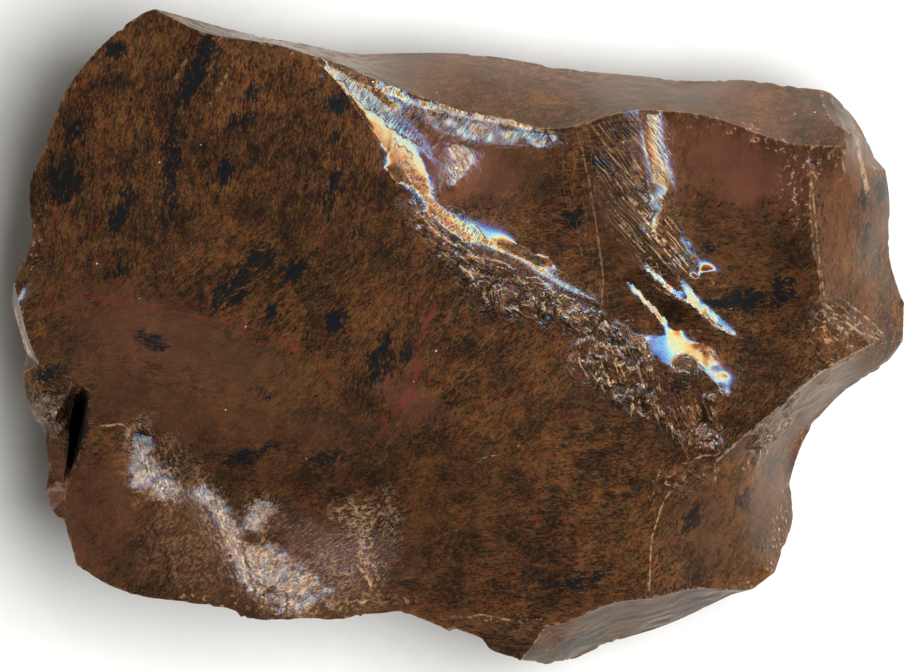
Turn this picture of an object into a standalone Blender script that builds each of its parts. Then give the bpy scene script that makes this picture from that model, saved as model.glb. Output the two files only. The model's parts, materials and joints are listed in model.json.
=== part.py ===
"""Mahogany obsidian chunk: one broken, hand-sized piece of volcanic glass lying on a flat facet.

The stone is one solid. A sharp rim runs all round it in plan. Above the rim lie the broad face, two
long flake scars and the steep edge flakes; below it a ring of hollow flakes runs in to a flat facet
that the stone rests on. Every scar is a smooth sheet stretched between the arrises that bound it.

Plan points are (x, y) or (x, y, height) in millimetres. A point with no height takes it from the
points before and after it. The origin is on the resting plane, under the middle of the outline.
"""

import bmesh
import bpy
import numpy as np
from mathutils import Vector
from mathutils.geometry import delaunay_2d_cdt

MM = 0.001
UPPER_SPACING = 1.12  # between the points of the upper sheets
UNDER_SPACING = 1.9  # between the points of the under sheets
LINE_SPACING = 1.1  # between the points along an arris
CLEARANCE = 0.62  # of the spacing, kept free beside a line
UNDER_BOWL = 0.07  # depth of an under flake over its own length
SHARP_ANGLE = np.radians(24)
PLAN_DIGITS = 4  # plan places that agree to this many decimals of a millimetre are one point
MERGE_DISTANCE = 0.01  # joins the upper and the under sheets along the rim
TINY = 1e-12  # keeps a division or a logarithm away from nought
FACES_OVER_THE_HULL = 0  # the kind of triangulation, which is then cut down to the rim
TRIANGULATION_ERROR = 1e-6

STONE_COLOR = (0.085, 0.034, 0.014, 1.0)
STONE_ROUGHNESS = 0.12
STONE_IOR = 1.49

# The rim, clockwise from the tip at the back left.
RIM = [
    (-27.4, 29.5, 24.4), (-26, 29.2), (-24.8, 28.9, 22), (-23.4, 28.4), (-22.1, 28.1, 19),
    (-20.9, 27.8), (-19.6, 27.5), (-18.4, 27.2, 16.5), (-16.5, 26.9), (-14.8, 26.7, 15), (-13.7, 26.3),
    (-11.9, 26.1), (-10.3, 25.8, 13.5), (-8.8, 25.5), (-7.1, 25.6), (-5.3, 25.6, 12.5), (-3.2, 25.7),
    (-0.4, 25.7), (1.5, 25.6, 12), (3.7, 25.3), (5, 25.1), (6.4, 24.8), (7.7, 24.5), (9.2, 24.3),
    (11.2, 24, 11.6), (13.3, 23.8), (15.5, 23.6), (18.1, 23.6), (19.2, 23.2), (20.4, 22.9, 12),
    (21.8, 22.9), (23, 23.1), (25.1, 23.5), (26.5, 23.3), (27.5, 23.1, 12.3), (28.5, 22.8),
    (30.6, 22.5), (32.8, 22.3, 12.8), (33.6, 22), (34.3, 21.4), (35, 20.7, 13), (35.7, 19.9),
    (36.4, 19.1), (37.1, 17.4, 12.5), (37.5, 16.2), (38, 15.7), (38.5, 15.1), (38.9, 13.4, 12),
    (39.1, 12.4), (39, 9.4), (38.6, 8.4), (38.5, 7.3, 11.5), (39.3, 5.4), (39.9, 3.7), (40.2, 3.1),
    (40.1, 1.1), (40.1, -0.3, 11.8), (39.8, -1.2), (39.1, -2.2), (38.2, -2.9, 11.5), (37.2, -3.3),
    (36.1, -4), (35, -4.5, 10), (34, -5.3), (33.2, -6.3), (31.9, -8, 8.6), (31.1, -8.9), (30.4, -10.3),
    (30.1, -11.3), (29.9, -13.2, 8), (30.5, -15), (30.5, -16.7, 9.5), (30.2, -17.5), (29.5, -18.4),
    (29.2, -19.2, 12), (28.8, -20), (28.5, -21.2, 14.3), (27.4, -22.3), (26.5, -22.7, 15.4),
    (24.6, -23.2), (23.2, -23.9, 14.5), (22.1, -24.4), (21, -25), (19.9, -25.6, 13.2), (18, -26.4),
    (15.5, -27, 12.4), (14.1, -27.3), (12.9, -27.8), (11.7, -28.5), (10.5, -29, 12.5), (9.2, -29.3),
    (7.8, -29.5, 16), (6.4, -29.3), (5.5, -29.1, 21), (4.3, -28.8), (2.6, -28, 22), (2, -27.2),
    (1.3, -26.6, 23), (0.5, -26.3), (-0.2, -26.2, 23.6), (-0.8, -26.4), (-1.9, -26),
    (-2.7, -25.3, 24.4), (-3.6, -25.1), (-5.5, -24.6, 25.4), (-6.6, -24.7), (-8.8, -25.1),
    (-9.8, -25.3, 26), (-11.2, -25.5), (-12.9, -25.5), (-14.1, -25.3, 26.4), (-14.9, -25.6),
    (-16.1, -25.6), (-17.7, -25.5, 26.3), (-19.5, -25.1), (-20.1, -24.6), (-20.9, -24.3, 25.8),
    (-21.9, -24.2), (-22.7, -23.8), (-24.5, -23.5, 25), (-26.4, -23.8), (-27.1, -23.9),
    (-27.8, -23.8, 24.4), (-29.6, -23.1), (-31.5, -22.3, 23.4), (-32.3, -22.1), (-33.4, -21.3),
    (-34.3, -20.5, 23), (-34.6, -18.7), (-35, -18), (-35.6, -16.4, 22.4), (-36.5, -15.8),
    (-36.9, -14.6), (-37.1, -13.8, 20.8), (-37, -12.7), (-36.8, -11.8), (-37, -10.6, 20.2),
    (-37.3, -8.5), (-38.1, -7.4), (-38.8, -6, 19.4), (-39.1, -4.3), (-39.2, -3.2), (-38.9, -1.5, 20.5),
    (-39.5, 0.5, 19.6), (-40.2, 3, 19.8), (-40, 4.9, 21.2), (-39.5, 5.6), (-38.7, 7.6, 22), (-38.3, 9.6),
    (-38.6, 10.3), (-38.7, 12.2, 21.8), (-38.9, 13.7), (-38.9, 14.4), (-38, 16, 22.8), (-37.2, 16.9),
    (-36.8, 17.7), (-36.8, 18.8), (-36.1, 20.4, 23.6), (-35.3, 22.4), (-34.7, 23.7), (-33.5, 24.8, 24),
    (-32.1, 26), (-31.1, 27.4), (-29.7, 28.3, 24.2), (-28.5, 29.2),
]

# The arrises and creases above the rim.
UPPER_LINES = {
    "crown": [
        (-27.4, 29.5, 24.4), (-25.2, 28.4, 24.8), (-23.8, 27.5, 25), (-21.5, 27, 25.2),
        (-18.4, 26.6, 25.2), (-15.2, 26, 25.2), (-13.3, 25.3, 25.1), (-11.6, 24.9, 24.6),
        (-9.5, 24.1, 24), (-7.5, 23.1, 23.4), (-5.4, 22.3, 22.8), (-1.9, 21.1, 22.2), (1.5, 19.9, 21.9),
        (3.7, 19.9, 21.8), (6.8, 18.7, 21.8), (8.5, 18.7, 21.9), (11, 18.9, 22.4), (12.6, 19.6, 22.8),
        (14.2, 20.2, 22.9), (15.9, 20.5, 22.4), (18.6, 20.3, 21.2), (21.5, 20.1, 21.2),
        (24.4, 19.3, 21.4), (26.5, 18.4, 21.6), (28.3, 17.7, 21.8), (31.4, 17, 22.2),
    ],
    "shoulder": [
        (31.4, 17, 22.2), (32.5, 17.4, 22.1), (33.6, 17.9, 21.8), (34.6, 18.7, 21), (35.5, 18.2, 20),
        (36, 16.4, 19.6), (36.3, 14.1, 18.8), (36.4, 12.4, 18.2),
    ],
    "right arris": [
        (31.4, 17, 22.2), (31.5, 14.5, 22.8), (31.5, 11.7, 23.1), (31.6, 8.8, 23.3), (32.3, 6.2, 23.3),
        (32.6, 4.5, 23.2), (32.5, 2.5, 23), (33, 1.1, 22.4),
    ],
    "end arris": [
        (33, 1.1, 22.4), (34.7, 0.5, 20.6), (36.3, 0, 18.6), (37.6, -0.5, 16.4), (38.8, -0.5, 14.2),
        (40.1, -0.3, 11.8),
    ],
    "bite edge": [
        (37.6, -0.5, 16.4), (36.4, -0.9, 18.3), (35.1, -1.6, 19.6), (33.3, -2.6, 21), (31.5, -3.7, 22),
        (29.5, -5.7, 22.6), (27.8, -7.3, 22.8), (25.9, -8.7, 23), (24.1, -10.2, 23.2),
        (22.9, -11.4, 23.4), (21.8, -11.8, 23.6), (20.2, -12.3, 24),
    ],
    "heel": [
        (20.2, -12.3, 24), (19.2, -13.9, 24.2), (18.1, -16.1, 24.5), (17.3, -18.1, 24.7),
        (17, -20, 24.7), (16.9, -22.4, 24.5), (17.1, -23.5, 24.3),
    ],
    "foot": [
        (17.1, -23.5, 24.3), (18.6, -23.2, 23.5), (20.4, -22.6, 22.3), (21.8, -22.5, 21.3),
        (23.6, -22.7, 19.6), (25.1, -22.9, 17.6), (26.5, -22.7, 15.4),
    ],
    "front arris": [
        (17.1, -23.5, 24.3), (14.8, -23.6, 24.5), (13.4, -23.8, 24.6), (12.1, -24.5, 24.5),
        (10.7, -25.3, 24.3), (9.3, -25.8, 24.2), (7.8, -26, 24), (6.9, -27.3, 23.2),
        (6.4, -28.3, 22.2), (5.5, -29.1, 21),
    ],
    "scar wall": [
        (-13.3, 25.3, 25.1), (-12.1, 24.2, 25.2), (-10.7, 22.7, 25.3), (-9.6, 21.1, 25.4),
        (-8.2, 19.1, 25.4), (-6.9, 17.5, 25.4), (-5.8, 15.9, 25.3), (-4.4, 14.3, 25.2),
        (-3.1, 12.8, 25.1), (-1.7, 11.4, 25), (-0.4, 10.3, 24.9), (1.9, 8.6, 24.8), (4.5, 7.5, 24.7),
        (6.4, 6.7, 24.6), (8.5, 5.1, 24.5), (10.9, 3.8, 24.4), (12.9, 3.1, 24.3),
    ],
    "shelf edge": [
        (-8.2, 19.1, 25.4), (-7.5, 16.6, 25.7), (-6.5, 15, 25.8), (-5.5, 13.7, 25.8),
        (-4.7, 11.9, 25.8), (-4, 10.3, 25.8), (-2.6, 8.7, 25.7), (-0.8, 7.1, 25.7), (1, 5.3, 25.7),
        (2.8, 3.3, 25.7), (5.5, 2, 25.6), (7.7, 1.1, 25.6), (10, 0.2, 25.5), (12, -1.2, 25.5),
        (13.8, -3, 25.4), (15.6, -5, 25.3), (17.2, -6.8, 25.2), (19.2, -8.5, 25), (20.2, -10.2, 24.6),
        (20.2, -12.3, 24),
    ],
    "spine": [
        (11, 18.9, 22.4), (11.2, 16.8, 22.9), (11.2, 15.5, 23.1), (11.4, 12.2, 23.4), (12.2, 9.4, 23.7),
        (12.8, 7.7, 23.9), (12.9, 5.1, 24.1), (12.9, 3.1, 24.3),
    ],
    "lance wall": [
        (12.9, 3.1, 24.3), (14, 1.5, 24.3), (15.4, -0.1, 24.4), (16.7, -1.2, 24.5), (17.6, -1.9, 24.6),
        (18.8, -2.5, 24.7), (19.9, -2.2, 24.6), (21, -2.2, 24.5), (22.6, -3.6, 24.4),
        (24.2, -5.3, 24.2), (25.1, -6.9, 23.7), (25.9, -8.7, 23),
    ],
    "blade": [(16.3, 9.8, 24.3), (18.1, 7.6, 24.3), (19.6, 5.5, 24.2), (21.7, 3.3, 24), (24.2, 0.4, 23.3)],
    "crack edge": [
        (-38.9, -1.5, 20.5), (-37.7, -2.5, 22.6), (-35.9, -3.1, 23.8), (-34.6, -3.9, 24.1),
        (-33.1, -5, 24.4), (-33.4, -6.4, 24.4), (-33.5, -8, 24.3), (-33.8, -8.9, 24.2),
        (-34.1, -10.7, 24), (-34.6, -12.1, 23.7), (-35, -13, 23.3), (-35.5, -14.7, 22.9),
        (-35.6, -16.4, 22.4),
    ],
    "crack floor": [
        (-33.8, -5.6, 20.2), (-34.2, -6.8, 19.4), (-34.4, -8.4, 19.3), (-34.6, -10.1, 19.8),
        (-35, -11.8, 20.8), (-35.4, -13.4, 21.6),
    ],
    "ledge edge": [
        (-34.3, -5.1, 22.3), (-34.9, -6.8, 22.2), (-35, -8.5, 21.7), (-35.1, -10.6, 21.3),
        (-35.5, -12.4, 21.4),
    ],
    "fold": [
        (-21.3, 25.6, 25.8), (-22.3, 24.1, 25.8), (-23.1, 22.6, 25.7), (-23.7, 21.4, 25.6),
        (-24.4, 20.4, 25.4), (-25, 18.6, 25.2),
    ],
    "fold foot": [
        (-22.6, 25.5, 25), (-23.5, 24, 24.9), (-24.3, 22.5, 24.9), (-25, 21, 24.9), (-25.9, 19, 25),
    ],
    "bite crest": [
        (29.5, -6, 20.6), (28.6, -7.3, 18.6), (27.8, -9, 17.9), (27.2, -10.4, 17.8), (26.7, -12.2, 18),
    ],
    "dish": [
        (-30.7, -8.5, 24.4), (-28.7, -8.9, 23.9), (-26.5, -9.6, 23.8), (-24.2, -11.3, 23.8),
        (-22, -13.4, 23.8), (-19.3, -14.5, 23.8), (-15.2, -14.7, 23.9), (-11.6, -14.9, 24),
        (-8, -15.8, 24.4), (-5.1, -17.6, 25),
    ],
    "left bevel": [
        (-40, 4.9, 21.2), (-39.5, 3.3, 22.3), (-39.1, 1.1, 22.6), (-38.5, -0.7, 22.7), (-37.7, -2.5, 22.6),
    ],
}

# Heights inside the sheets, one list for each scar.
UPPER_FORMS = {
    "broad face": [
        (-32.3, 23.1, 24.5), (-29.6, 17.7, 24.7), (-33.2, 12.3, 24.3), (-27.8, 10.5, 24.9),
        (-35, 6, 23.7), (-30.5, 1.5, 24.7), (-35, 0.2, 23.2), (-27.8, 25.8, 24.9), (-22.9, 15.9, 25.2),
        (-17.9, 22.2, 25.6), (-12.5, 20.4, 25.8), (-18.8, 14.1, 25.7), (-14.3, 7.8, 25.9),
        (-23.3, 5.1, 25.4), (-9.8, 10.5, 26.1), (-5.3, 3.3, 26.3), (-16.1, -1.2, 26),
        (-25.1, -3, 25.4), (-30.5, -4.3, 25), (-7.1, -5.7, 26.4), (0.1, -2.1, 26.5), (3.7, -9.3, 26.8),
        (9.1, -5.7, 26.5), (-14.3, -10.2, 25.7), (-21.5, -8.4, 25.4), (-27.8, -7, 25),
        (-1.7, -14.7, 26.4), (7.3, -16.5, 26.5), (12.7, -11.1, 26.1), (12.7, -20.1, 25.6),
        (3.7, -22.3, 25.5), (-2.6, -21.9, 25.5), (16.3, -10.2, 25.5), (14.9, -16.5, 25.5),
        (-31.9, -12, 24.1), (-32.3, -17.4, 23.8), (-27.8, -17.4, 24.6), (-30.5, -21, 23.8),
        (-26, -14.7, 24.5), (-24.2, -20.1, 24.9), (-22, -16.5, 24.4), (-18.8, -20.1, 25.1),
        (-14.3, -20.1, 25.3), (-9.8, -20.5, 25.4), (1.9, -24.1, 25.2), (4.1, -26.6, 24),
    ],
    "left scar": [
        (-8.7, 23.1, 23.9), (-7.1, 21.7, 23.5), (-5.8, 21, 23.2), (-4.4, 18.9, 23.2),
        (-3.1, 16.6, 23.4), (-2.6, 14.1, 24.2), (-2, 12.3, 24.6), (0.1, 10.8, 24.4), (1.9, 9.5, 24.4),
        (3.7, 8.5, 24.3), (6.4, 6.9, 24.2), (9.1, 5.2, 24.2), (-0.4, 13.2, 23.9), (1.9, 11.9, 23.7),
        (5, 9.2, 23.7), (-1.3, 17.7, 22.9), (-0.8, 15, 23.5), (1.9, 16.8, 22.7), (5.5, 15.9, 22.4),
        (3.7, 12.8, 23.1), (6.4, 10.1, 23.4), (9.1, 12.3, 22.8), (9.5, 7.4, 23.8), (8.6, 16.4, 22.3),
        (10.4, 9.2, 23.4), (1.9, 19.1, 22.1),
    ],
    "right scar": [
        (13.8, 16.8, 23.1), (14.9, 14.6, 23.6), (14.5, 11, 24.1), (14.9, 6.9, 24.4), (16.1, 3.5, 24.3),
        (16.7, 19.1, 22.5), (17, 15.9, 23.2), (17.2, 12.3, 23.8), (16.7, 9.2, 24.2), (18.8, 18.6, 21.4),
        (18.8, 15, 22), (18.9, 11.4, 22.6), (19.3, 8.7, 23), (21.7, 16.8, 21.5), (25.3, 15.5, 21.4),
        (28.9, 15, 21.7), (23.5, 11.9, 21.9), (28, 10.5, 22.2), (21, 6.2, 22.9), (22.9, 4.2, 22.7),
        (25.7, 1.5, 22.5), (25.3, 6.9, 22.2), (29.8, 6, 22.6), (29.8, 0.6, 22.7), (27.1, -3, 22.8),
        (25.3, -3, 22.9), (20.8, 1.1, 23.2), (18.4, 1.3, 23.4), (22.1, -0.4, 23.2), (23.8, -2.6, 23.1),
        (16.7, 0.6, 23.6), (18.1, 3.3, 23.9),
    ],
    "crushed shelf": [
        (3.7, 6, 25.1), (6.4, 4.4, 25), (9.1, 2.9, 25), (11.8, 1.1, 24.9), (14, -0.7, 25.1),
        (16.3, -3.7, 25), (18.1, -5.7, 25.1), (20.2, -3.5, 25.1), (20.8, -6.6, 24.3),
        (23.5, -7.9, 23.9), (21.7, -9.7, 23.9),
    ],
    "end face": [
        (33.8, 14.1, 21.3), (34.3, 10.5, 20.8), (36.1, 8.7, 18.4), (34.7, 6, 20.2), (37.2, 5.1, 16.6),
        (35.2, 2.4, 19.2), (38.1, 2, 14.8), (37.9, 12.3, 15.4),
    ],
    "bite": [
        (21.7, -14.7, 22.8), (20.8, -18.3, 22.6), (23.5, -18.3, 20.8), (25.3, -14.7, 19.8),
        (23, -21, 20.6), (26.2, -20.1, 17.8), (27.5, -17.4, 15.6), (28.4, -14.7, 13),
        (28.2, -12.7, 13.5), (24.8, -12.4, 20.4), (29.2, -10.2, 11.5), (30.7, -7.6, 12.5),
        (33.4, -4.8, 15),
    ],
    "back flake": [
        (-16.1, 26.4, 20), (-10.7, 25.3, 20.5), (-8, 24.4, 18.8), (-5.3, 23.8, 18.3), (-0.8, 23.1, 18.4),
        (3.7, 22.5, 18.2), (8.2, 21.5, 18.2), (12.7, 21.7, 18.4), (17.2, 21.9, 18), (21.7, 21.4, 17.9),
        (26.2, 20.7, 17.9), (30.7, 19.6, 18.3),
    ],
    "ledge": [
        (-37, -6.7, 21.8), (-35.9, -5.5, 21.9), (-37.7, -5.5, 21.2), (-36.8, -4.3, 21.9),
        (-36.1, -9.3, 20.9), (-36.3, -12, 21),
    ],
}

# The flat facet that the stone rests on, clockwise, and the arrises that run from it out to the rim.
RESTING_FACET = [
    (-23, 4), (-15.5, 11), (-5, 13), (2, 13.4), (9, 14.5), (19, 9), (23.5, 0.5), (20.5, -9), (9.5, -13.5),
    (-3, -16.5), (-9, -15.4), (-15, -13), (-22, -6.5),
]
UNDER_LINES = {
    "left": [(-23, 4, 0), (-29, 5, 8.5), (-34.5, 4.5, 14.5), (-40.2, 3, 19.8)],
    "back left": [(-15.5, 11, 0), (-22, 14.5, 6), (-30, 18, 14.5), (-36.1, 20.4, 23.6)],
    "back": [(-5, 13, 0), (-9.5, 18.5, 5.5), (-14, 23, 10.5), (-18.4, 27.2, 16.5)],
    "back scar": [(2, 13.4, 0), (2.6, 17.5, 4.2), (2, 22, 8.4), (1.5, 25.6, 12)],
    "back middle": [(9, 14.5, 0), (10.5, 19, 4.8), (11.2, 24, 11.6)],
    "back right": [(19, 9, 0), (26, 14, 4.5), (32, 18.5, 9), (35, 20.7, 13)],
    "right": [(23.5, 0.5, 0), (30, 3.2, 3.6), (35, 5.8, 7.6), (38.5, 7.3, 11.5)],
    "bite": [(20.5, -9, 0), (25.5, -12, 3.2), (29.9, -13.2, 8)],
    "front right": [(9.5, -13.5, 0), (15, -17.5, 4.6), (20, -21, 9.6), (23.2, -23.9, 14.5)],
    "front": [(-3, -16.5, 0), (1.5, -21.5, 6.5), (4.5, -26, 12.5), (5.5, -29.1, 21)],
    "front scar": [(-9, -15.4, 0), (-9.5, -19, 7), (-10, -22.6, 16), (-9.8, -25.3, 26)],
    "front middle": [(-15, -13, 0), (-17, -17.5, 8), (-19.5, -22, 17), (-20.9, -24.3, 25.8)],
    "front left": [(-22, -6.5, 0), (-27, -11.5, 7), (-31.5, -17, 15), (-34.3, -20.5, 23)],
    "ledge": [(-22, -6.5, 0), (-28, -6.3, 6.5), (-34, -6, 13), (-38.8, -6, 19.4)],
}


def with_heights(points, is_loop=False):
    """The points as an array of x, y and height, with the missing heights read along the line."""
    plan = np.array([point[:2] for point in points], float)
    known = [i for i, point in enumerate(points) if len(point) == 3]
    closed_plan = np.vstack([plan, plan[:1]]) if is_loop else plan
    steps = np.linalg.norm(np.diff(closed_plan, axis=0), axis=1)
    along = np.concatenate([[0], np.cumsum(steps)])
    period = along[-1] if is_loop else None
    heights = np.interp(along[: len(points)], along[known], [points[i][2] for i in known], period=period)
    return np.column_stack([plan, heights])


def curve_through(points, spacing):
    """A smooth curve through the points: a Catmull-Rom spline that keeps each of them."""
    padded = np.vstack([2 * points[0] - points[1], points, 2 * points[-1] - points[-2]])
    curve = [points[0]]
    for before, start, end, after in zip(padded, padded[1:], padded[2:], padded[3:]):
        count = max(1, round(np.linalg.norm((end - start)[:2]) / spacing))
        for t in np.arange(1, count + 1) / count:
            curve.append(
                0.5 * (2 * start + (end - before) * t + (2 * before - 5 * start + 4 * end - after) * t**2
                       + (3 * start - before - 3 * end + after) * t**3)
            )
        curve[-1] = end
    return np.array(curve)


def distance_to_lines(places, lines):
    """How far each place is from the nearest segment of the lines, in plan."""
    nearest = np.full(len(places), np.inf)
    for line in lines:
        for start, end in zip(line[:-1, :2], line[1:, :2]):
            step = end - start
            share = np.clip((places - start) @ step / max(step @ step, TINY), 0, 1)
            nearest = np.minimum(nearest, np.linalg.norm(places - start - share[:, None] * step, axis=1))
    return nearest


def are_inside(places, rim):
    """Whether each place lies inside the rim, by the crossings of a ray along +X."""
    inside = np.zeros(len(places), bool)
    for start, end in zip(rim[:, :2], np.roll(rim[:, :2], -1, axis=0)):
        if start[1] == end[1]:
            continue
        spans = (start[1] > places[:, 1]) != (end[1] > places[:, 1])
        crossing = start[0] + (places[:, 1] - start[1]) * (end[0] - start[0]) / (end[1] - start[1])
        inside ^= spans & (places[:, 0] < crossing)
    return inside


def triangular_grid(rim, lines, spacing):
    """Points of a triangular grid inside the rim that keep clear of the lines."""
    low, high = rim[:, :2].min(axis=0), rim[:, :2].max(axis=0)
    row_step = spacing * np.sqrt(3) / 2
    rows = []
    for row, y in enumerate(np.arange(low[1], high[1], row_step)):
        xs = np.arange(low[0] + (row % 2) * spacing / 2, high[0], spacing)
        rows.append(np.column_stack([xs, np.full(len(xs), y)]))
    grid = np.vstack(rows)
    grid = grid[are_inside(grid, rim)]
    return grid[distance_to_lines(grid, lines) > CLEARANCE * spacing]


def thin_plate(known, places):
    """Heights at the places of the least bent sheet through the known points."""
    def bending(first, second):
        square = ((first[:, None] - second[None]) ** 2).sum(axis=2)
        return 0.5 * square * np.log(square + TINY)

    plan, heights = known[:, :2], known[:, 2]
    flat = np.column_stack([np.ones(len(plan)), plan])
    system = np.block([[bending(plan, plan), flat], [flat.T, np.zeros((3, 3))]])
    weights = np.linalg.lstsq(system, np.concatenate([heights, np.zeros(3)]), rcond=None)[0]
    tilt = np.column_stack([np.ones(len(places)), places]) @ weights[-3:]
    return bending(places, plan) @ weights[:-3] + tilt


def sheet_of_each_face(faces, is_line):
    """A number for each face: faces that meet across an edge that is no line share a sheet."""
    by_edge = {}
    for index, face in enumerate(faces):
        for a, b in zip(face, face[1:] + face[:1]):
            by_edge.setdefault((min(a, b), max(a, b)), []).append(index)
    neighbours = [[] for _ in faces]
    for edge, sides in by_edge.items():
        if len(sides) == 2 and edge not in is_line:
            neighbours[sides[0]].append(sides[1])
            neighbours[sides[1]].append(sides[0])
    sheets = [-1] * len(faces)
    for first in range(len(faces)):
        waiting = [first] if sheets[first] < 0 else []
        while waiting:
            face = waiting.pop()
            if sheets[face] < 0:
                sheets[face] = first
                waiting.extend(neighbours[face])
    return np.array(sheets)


def face_holding(place, plan, faces):
    """The index of the triangle that the place lies in."""
    a, b, c = plan[faces[:, 0]], plan[faces[:, 1]], plan[faces[:, 2]]

    def side(first, second):
        step, to_place = second - first, place - first
        return step[:, 0] * to_place[:, 1] - step[:, 1] * to_place[:, 0]

    return int(np.argmax(np.min([side(a, b), side(b, c), side(c, a)], axis=0)))


def stretched_sheets(rim, lines, forms, spacing, bowl=0.0):
    """The points and the triangles of the sheets that the rim and the lines bound."""
    closed_rim = np.vstack([rim, rim[:1]])
    chains = [closed_rim, *lines]
    fixed, number = [], {}
    edges = set()
    for chain in chains:
        ids = []
        for point in chain:
            key = (round(point[0], PLAN_DIGITS), round(point[1], PLAN_DIGITS))
            if key not in number:
                number[key] = len(fixed)
                fixed.append(point)
            ids.append(number[key])
        edges.update((min(a, b), max(a, b)) for a, b in zip(ids, ids[1:]))
    fixed = np.array(fixed)
    grid = triangular_grid(rim, chains, spacing)
    plan_in = np.vstack([fixed[:, :2], grid])
    result = delaunay_2d_cdt([Vector(p) for p in plan_in], list(edges), [], FACES_OVER_THE_HULL,
                             TRIANGULATION_ERROR, True)
    plan = np.array([tuple(p) for p in result[0]])
    is_line = {tuple(sorted(edge)) for edge, source in zip(result[1], result[4]) if source}
    every_face = np.array([list(face) for face in result[2]])
    faces = every_face[are_inside(plan[every_face].mean(axis=1), rim)].tolist()
    heights = np.full(len(plan), np.nan)
    for new, sources in enumerate(result[3]):
        for source in sources:
            if source < len(fixed):
                heights[new] = fixed[source, 2]
    sheets = sheet_of_each_face(faces, is_line)
    triangles = np.array(faces)
    placed_forms = {}
    for form in forms:
        sheet = sheets[face_holding(np.array(form[:2]), plan, triangles)]
        placed_forms.setdefault(sheet, []).append(form)
    is_fixed = ~np.isnan(heights)
    for sheet in sorted(set(sheets)):
        members = np.unique(triangles[sheets == sheet])
        edge_points = members[is_fixed[members]]
        free = members[~is_fixed[members]]
        if not len(free):
            continue
        known = np.column_stack([plan[edge_points], heights[edge_points]])
        if sheet in placed_forms:
            known = np.vstack([known, placed_forms[sheet]])
        elif bowl and np.ptp(known[:, 2]) > 0:
            middle = plan[members].mean(axis=0)[None]
            length = np.linalg.norm(np.ptp(known, axis=0))
            hollow = thin_plate(known, middle) + bowl * length
            known = np.vstack([known, [*middle[0], hollow[0]]])
        heights[free] = thin_plate(known, plan[free])
    return np.column_stack([plan, heights]), triangles


def stone_mesh():
    rim = with_heights(RIM, is_loop=True)
    upper_lines = [curve_through(with_heights(line), LINE_SPACING) for line in UPPER_LINES.values()]
    upper_forms = [form for forms in UPPER_FORMS.values() for form in forms]
    upper = stretched_sheets(rim, upper_lines, upper_forms, UPPER_SPACING)

    facet = np.column_stack([np.array(RESTING_FACET + RESTING_FACET[:1]), np.zeros(len(RESTING_FACET) + 1)])
    under_lines = [curve_through(with_heights(line), UNDER_SPACING) for line in UNDER_LINES.values()]
    under = stretched_sheets(rim, [facet, *under_lines], [], UNDER_SPACING, UNDER_BOWL)

    shaped = bmesh.new()
    for (points, faces), faces_up in ((upper, True), (under, False)):
        verts = [shaped.verts.new(point * MM) for point in points]
        for face in faces:
            turn = face if faces_up else face[::-1]
            shaped.faces.new([verts[i] for i in turn])
    bmesh.ops.remove_doubles(shaped, verts=shaped.verts, dist=MERGE_DISTANCE * MM)
    bmesh.ops.recalc_face_normals(shaped, faces=shaped.faces)
    mesh = bpy.data.meshes.new("obsidian_chunk")
    shaped.to_mesh(mesh)
    shaped.free()
    mesh.shade_smooth()
    mesh.set_sharp_from_angle(angle=float(SHARP_ANGLE))
    return mesh


def stone_material():
    material = bpy.data.materials.new("mahogany_obsidian")
    material.use_nodes = True
    surface = material.node_tree.nodes["Principled BSDF"]
    surface.inputs["Base Color"].default_value = STONE_COLOR
    surface.inputs["Roughness"].default_value = STONE_ROUGHNESS
    surface.inputs["IOR"].default_value = STONE_IOR
    return material


def clear_scene():
    for obj in list(bpy.data.objects):
        bpy.data.objects.remove(obj, do_unlink=True)


def main():
    clear_scene()
    collection = bpy.data.collections.new("obsidian_chunk")
    bpy.context.scene.collection.children.link(collection)
    stone = bpy.data.objects.new("obsidian_chunk", stone_mesh())
    stone.data.materials.append(stone_material())
    collection.objects.link(stone)


main()
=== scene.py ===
"""Looks of the obsidian chunk: the fine mesh, the mahogany glass, the floor, the lamps and the camera.

The stone is one piece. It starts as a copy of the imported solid, cut into small triangles. Its broad faces are
eased between the ridges, and ripples, hackles and crushed stone are raised on it. +X is right and +Y is up in
the view from above, and +Z faces the camera. The tables give places in plan, as (x, y) in whole tenths of a
millimetre in the frame of the solid. Their other lengths are in millimetres.
"""

import json
import math

import bmesh
import bpy
import numpy as np
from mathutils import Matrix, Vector, noise

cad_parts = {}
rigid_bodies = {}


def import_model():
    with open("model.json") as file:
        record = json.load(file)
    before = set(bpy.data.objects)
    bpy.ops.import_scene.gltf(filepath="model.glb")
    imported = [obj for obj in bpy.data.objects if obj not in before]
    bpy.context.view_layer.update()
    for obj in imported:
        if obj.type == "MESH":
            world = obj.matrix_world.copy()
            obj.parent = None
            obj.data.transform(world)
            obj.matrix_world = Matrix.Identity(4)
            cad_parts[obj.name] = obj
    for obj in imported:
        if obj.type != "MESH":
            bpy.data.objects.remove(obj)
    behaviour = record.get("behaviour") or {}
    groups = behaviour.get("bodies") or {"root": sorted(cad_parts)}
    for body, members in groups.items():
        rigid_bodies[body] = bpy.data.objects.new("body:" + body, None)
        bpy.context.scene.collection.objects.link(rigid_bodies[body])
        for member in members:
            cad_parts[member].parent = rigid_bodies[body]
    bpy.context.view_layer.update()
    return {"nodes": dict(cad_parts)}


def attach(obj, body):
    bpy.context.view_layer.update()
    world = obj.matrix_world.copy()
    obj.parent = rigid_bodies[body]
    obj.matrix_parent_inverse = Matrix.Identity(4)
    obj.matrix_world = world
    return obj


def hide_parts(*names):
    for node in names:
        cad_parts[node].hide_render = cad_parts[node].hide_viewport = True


MM = 0.001
MICRON = 0.001
TINY = 1e-12
TENTHS = 10

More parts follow.
